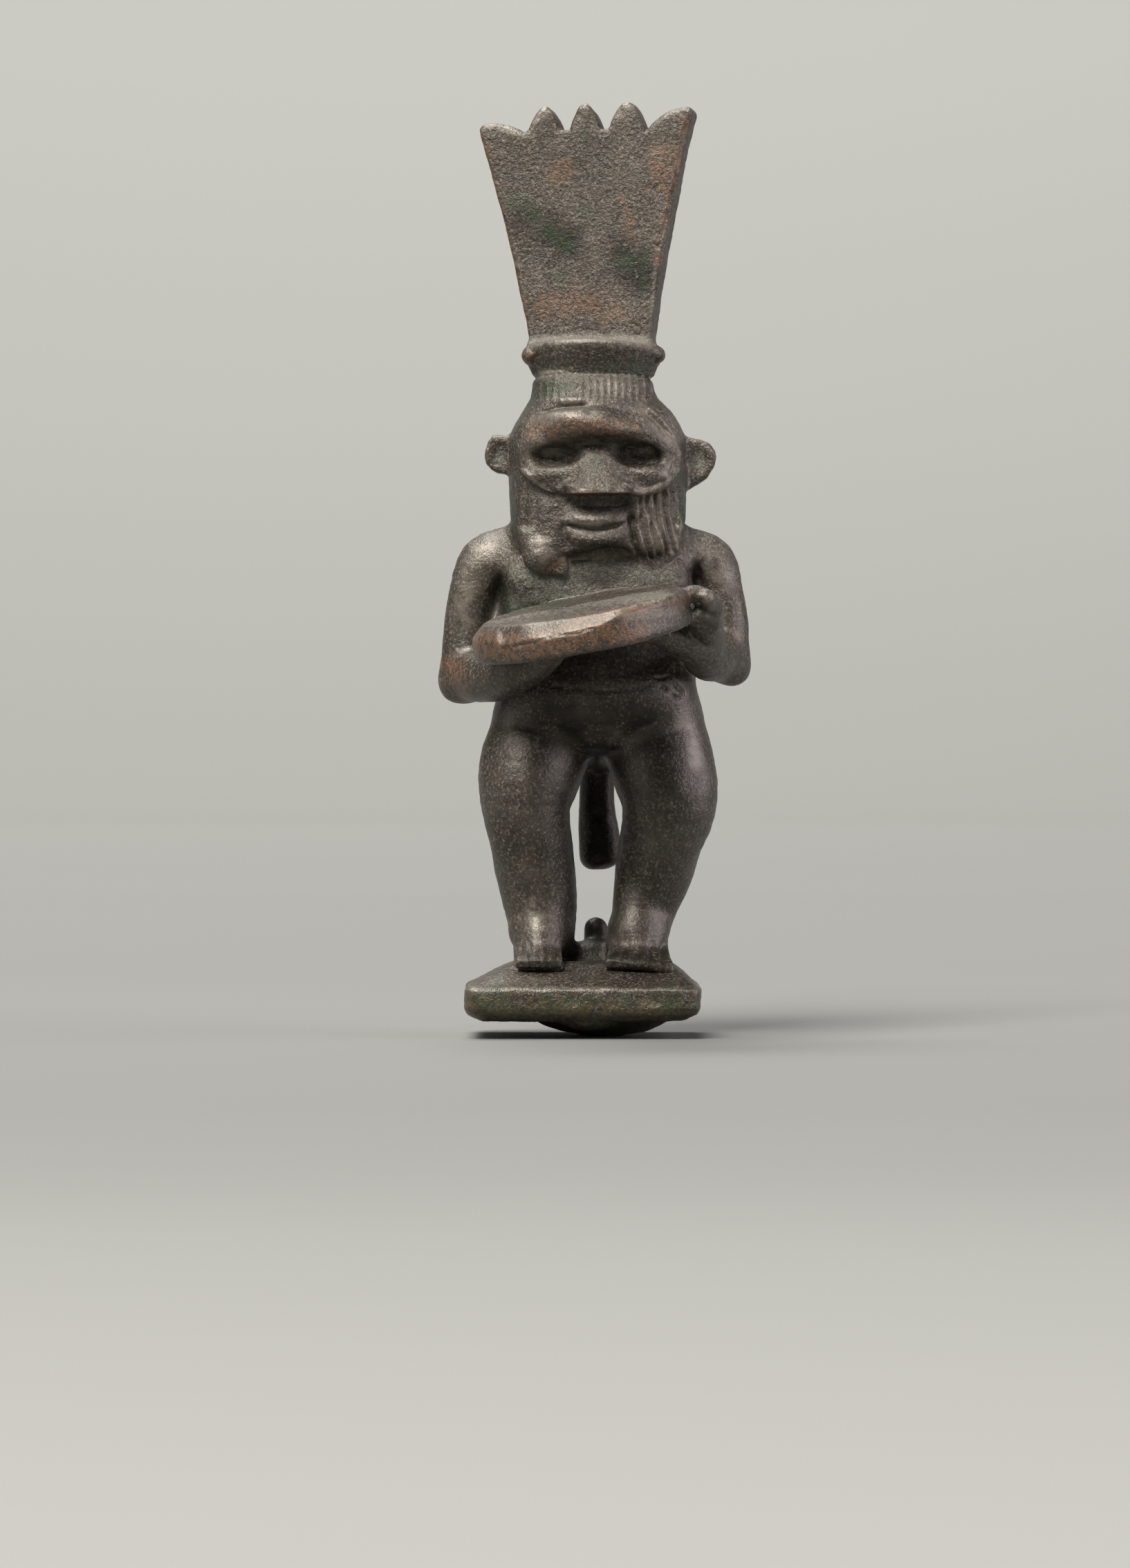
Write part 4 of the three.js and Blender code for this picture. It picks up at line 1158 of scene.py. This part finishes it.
# Light and shade painted on the paper: how light it is at places along it in metres from the front to the
# back.
PAPER_PAINTED_LIGHT = [
    (-0.7, 0.195), (-0.37, 0.185), (-0.3, 0.173), (-0.23, 0.161), (-0.17, 0.143), (-0.1, 0.138),
    (0.0, 0.148), (0.06, 0.156), (0.13, 0.159), (0.23, 0.173), (0.34, 0.19), (0.4, 0.205), (0.46, 0.217),
    (0.53, 0.236), (0.62, 0.265), (0.71, 0.301), (0.81, 0.336), (0.89, 0.344), (0.95, 0.353), (1.03, 0.376),
    (1.09, 0.401), (1.14, 0.419), (1.23, 0.462), (2.0, 0.462),
]


def stage():
    """A pale paper that lies under the figurine and sweeps up behind it, with its light and shade painted
    along it.
    """
    bend_y, radius, wide = 0.8, 0.5, 1.5
    front, back, row = -0.7, 2.0, 0.02
    along = np.arange(front, back, row)
    turn = np.clip((along - bend_y) / radius, 0, math.pi / 2)
    rest = np.maximum(along - bend_y - radius * math.pi / 2, 0)
    y = np.minimum(along, bend_y) + radius * np.sin(turn)
    z = radius * (1 - np.cos(turn)) + rest
    points = [(x, py, pz) for py, pz in zip(y, z) for x in (-wide, wide)]
    faces = [(2 * i, 2 * i + 1, 2 * i + 3, 2 * i + 2) for i in range(len(along) - 1)]
    mesh = bpy.data.meshes.new("backdrop")
    mesh.from_pydata(points, [], faces)
    mesh.shade_smooth()
    paper_painted_light = np.repeat(np.interp(along, *zip(*PAPER_PAINTED_LIGHT)), 2).astype(np.float32)
    mesh.attributes.new("paper_painted_light", "FLOAT", "POINT").data.foreach_set("value", paper_painted_light)
    sweep = bpy.data.objects.new("backdrop", mesh)
    bpy.context.scene.collection.objects.link(sweep)
    n = Nodes("backdrop_paper")
    # The paper's colour, scaled by the light and shade painted along it.
    n.put(n.surface.inputs["Base Color"], n.mix(n.mark("paper_painted_light"), (0, 0, 0, 1), (0.985, 1.0, 0.955, 1)))
    n.put(n.surface.inputs["Roughness"], 0.9)
    n.put(n.surface.inputs["Specular IOR Level"], 0.1)
    mesh.materials.append(n.material)


def softbox(name, at, towards, size, power, colour):
    light = bpy.data.lights.new(name, "AREA")
    light.shape = "RECTANGLE"
    light.size, light.size_y = size
    light.energy = power
    light.color = colour
    lamp = bpy.data.objects.new(name, light)
    lamp.location = at
    lamp.rotation_euler = (Vector(towards) - Vector(at)).to_track_quat("-Z", "Y").to_euler()
    bpy.context.scene.collection.objects.link(lamp)


def lights():
    middle = (0.0, 0.0, 0.04)
    softbox("key", (-0.32, -0.58, 0.94), middle, (0.5, 0.7), 31.0, (1.0, 0.97, 0.92))
    softbox("behind", (-0.2, 0.35, 1.0), middle, (0.7, 0.4), 13.0, (1.0, 0.99, 0.97))
    softbox("side", (0.8, -0.15, 0.3), middle, (0.8, 0.7), 7.0, (1.0, 0.93, 1.0))
    softbox("left", (-0.8, -0.2, 0.35), middle, (0.6, 0.6), 1.5, (1.0, 1.0, 0.97))
    world = bpy.data.worlds.new("room")
    bpy.context.scene.world = world
    world.use_nodes = True
    world.node_tree.nodes["Background"].inputs["Color"].default_value = (0.75, 0.77, 0.8, 1)
    world.node_tree.nodes["Background"].inputs["Strength"].default_value = 0.015


def camera():
    distance, eye_z = 0.65, 0.0317
    frame_height = 0.126
    data = bpy.data.cameras.new("camera")
    data.sensor_width = 36
    data.lens = data.sensor_width * distance / frame_height
    data.clip_start, data.clip_end = 0.05, 20
    eye = bpy.data.objects.new("camera", data)
    eye.location = (-0.0024, -distance, eye_z)
    aim_z = 0.0202
    eye.rotation_euler = (math.pi / 2 - math.atan((eye_z - aim_z) / distance), 0, 0)
    bpy.context.scene.collection.objects.link(eye)
    bpy.context.scene.camera = eye


camera()
lights()
stage()
piece = figurine()
piece.data.materials.append(bronze())
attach(piece, "root")
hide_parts("figurine")
bpy.context.scene.view_settings.view_transform = "Standard"
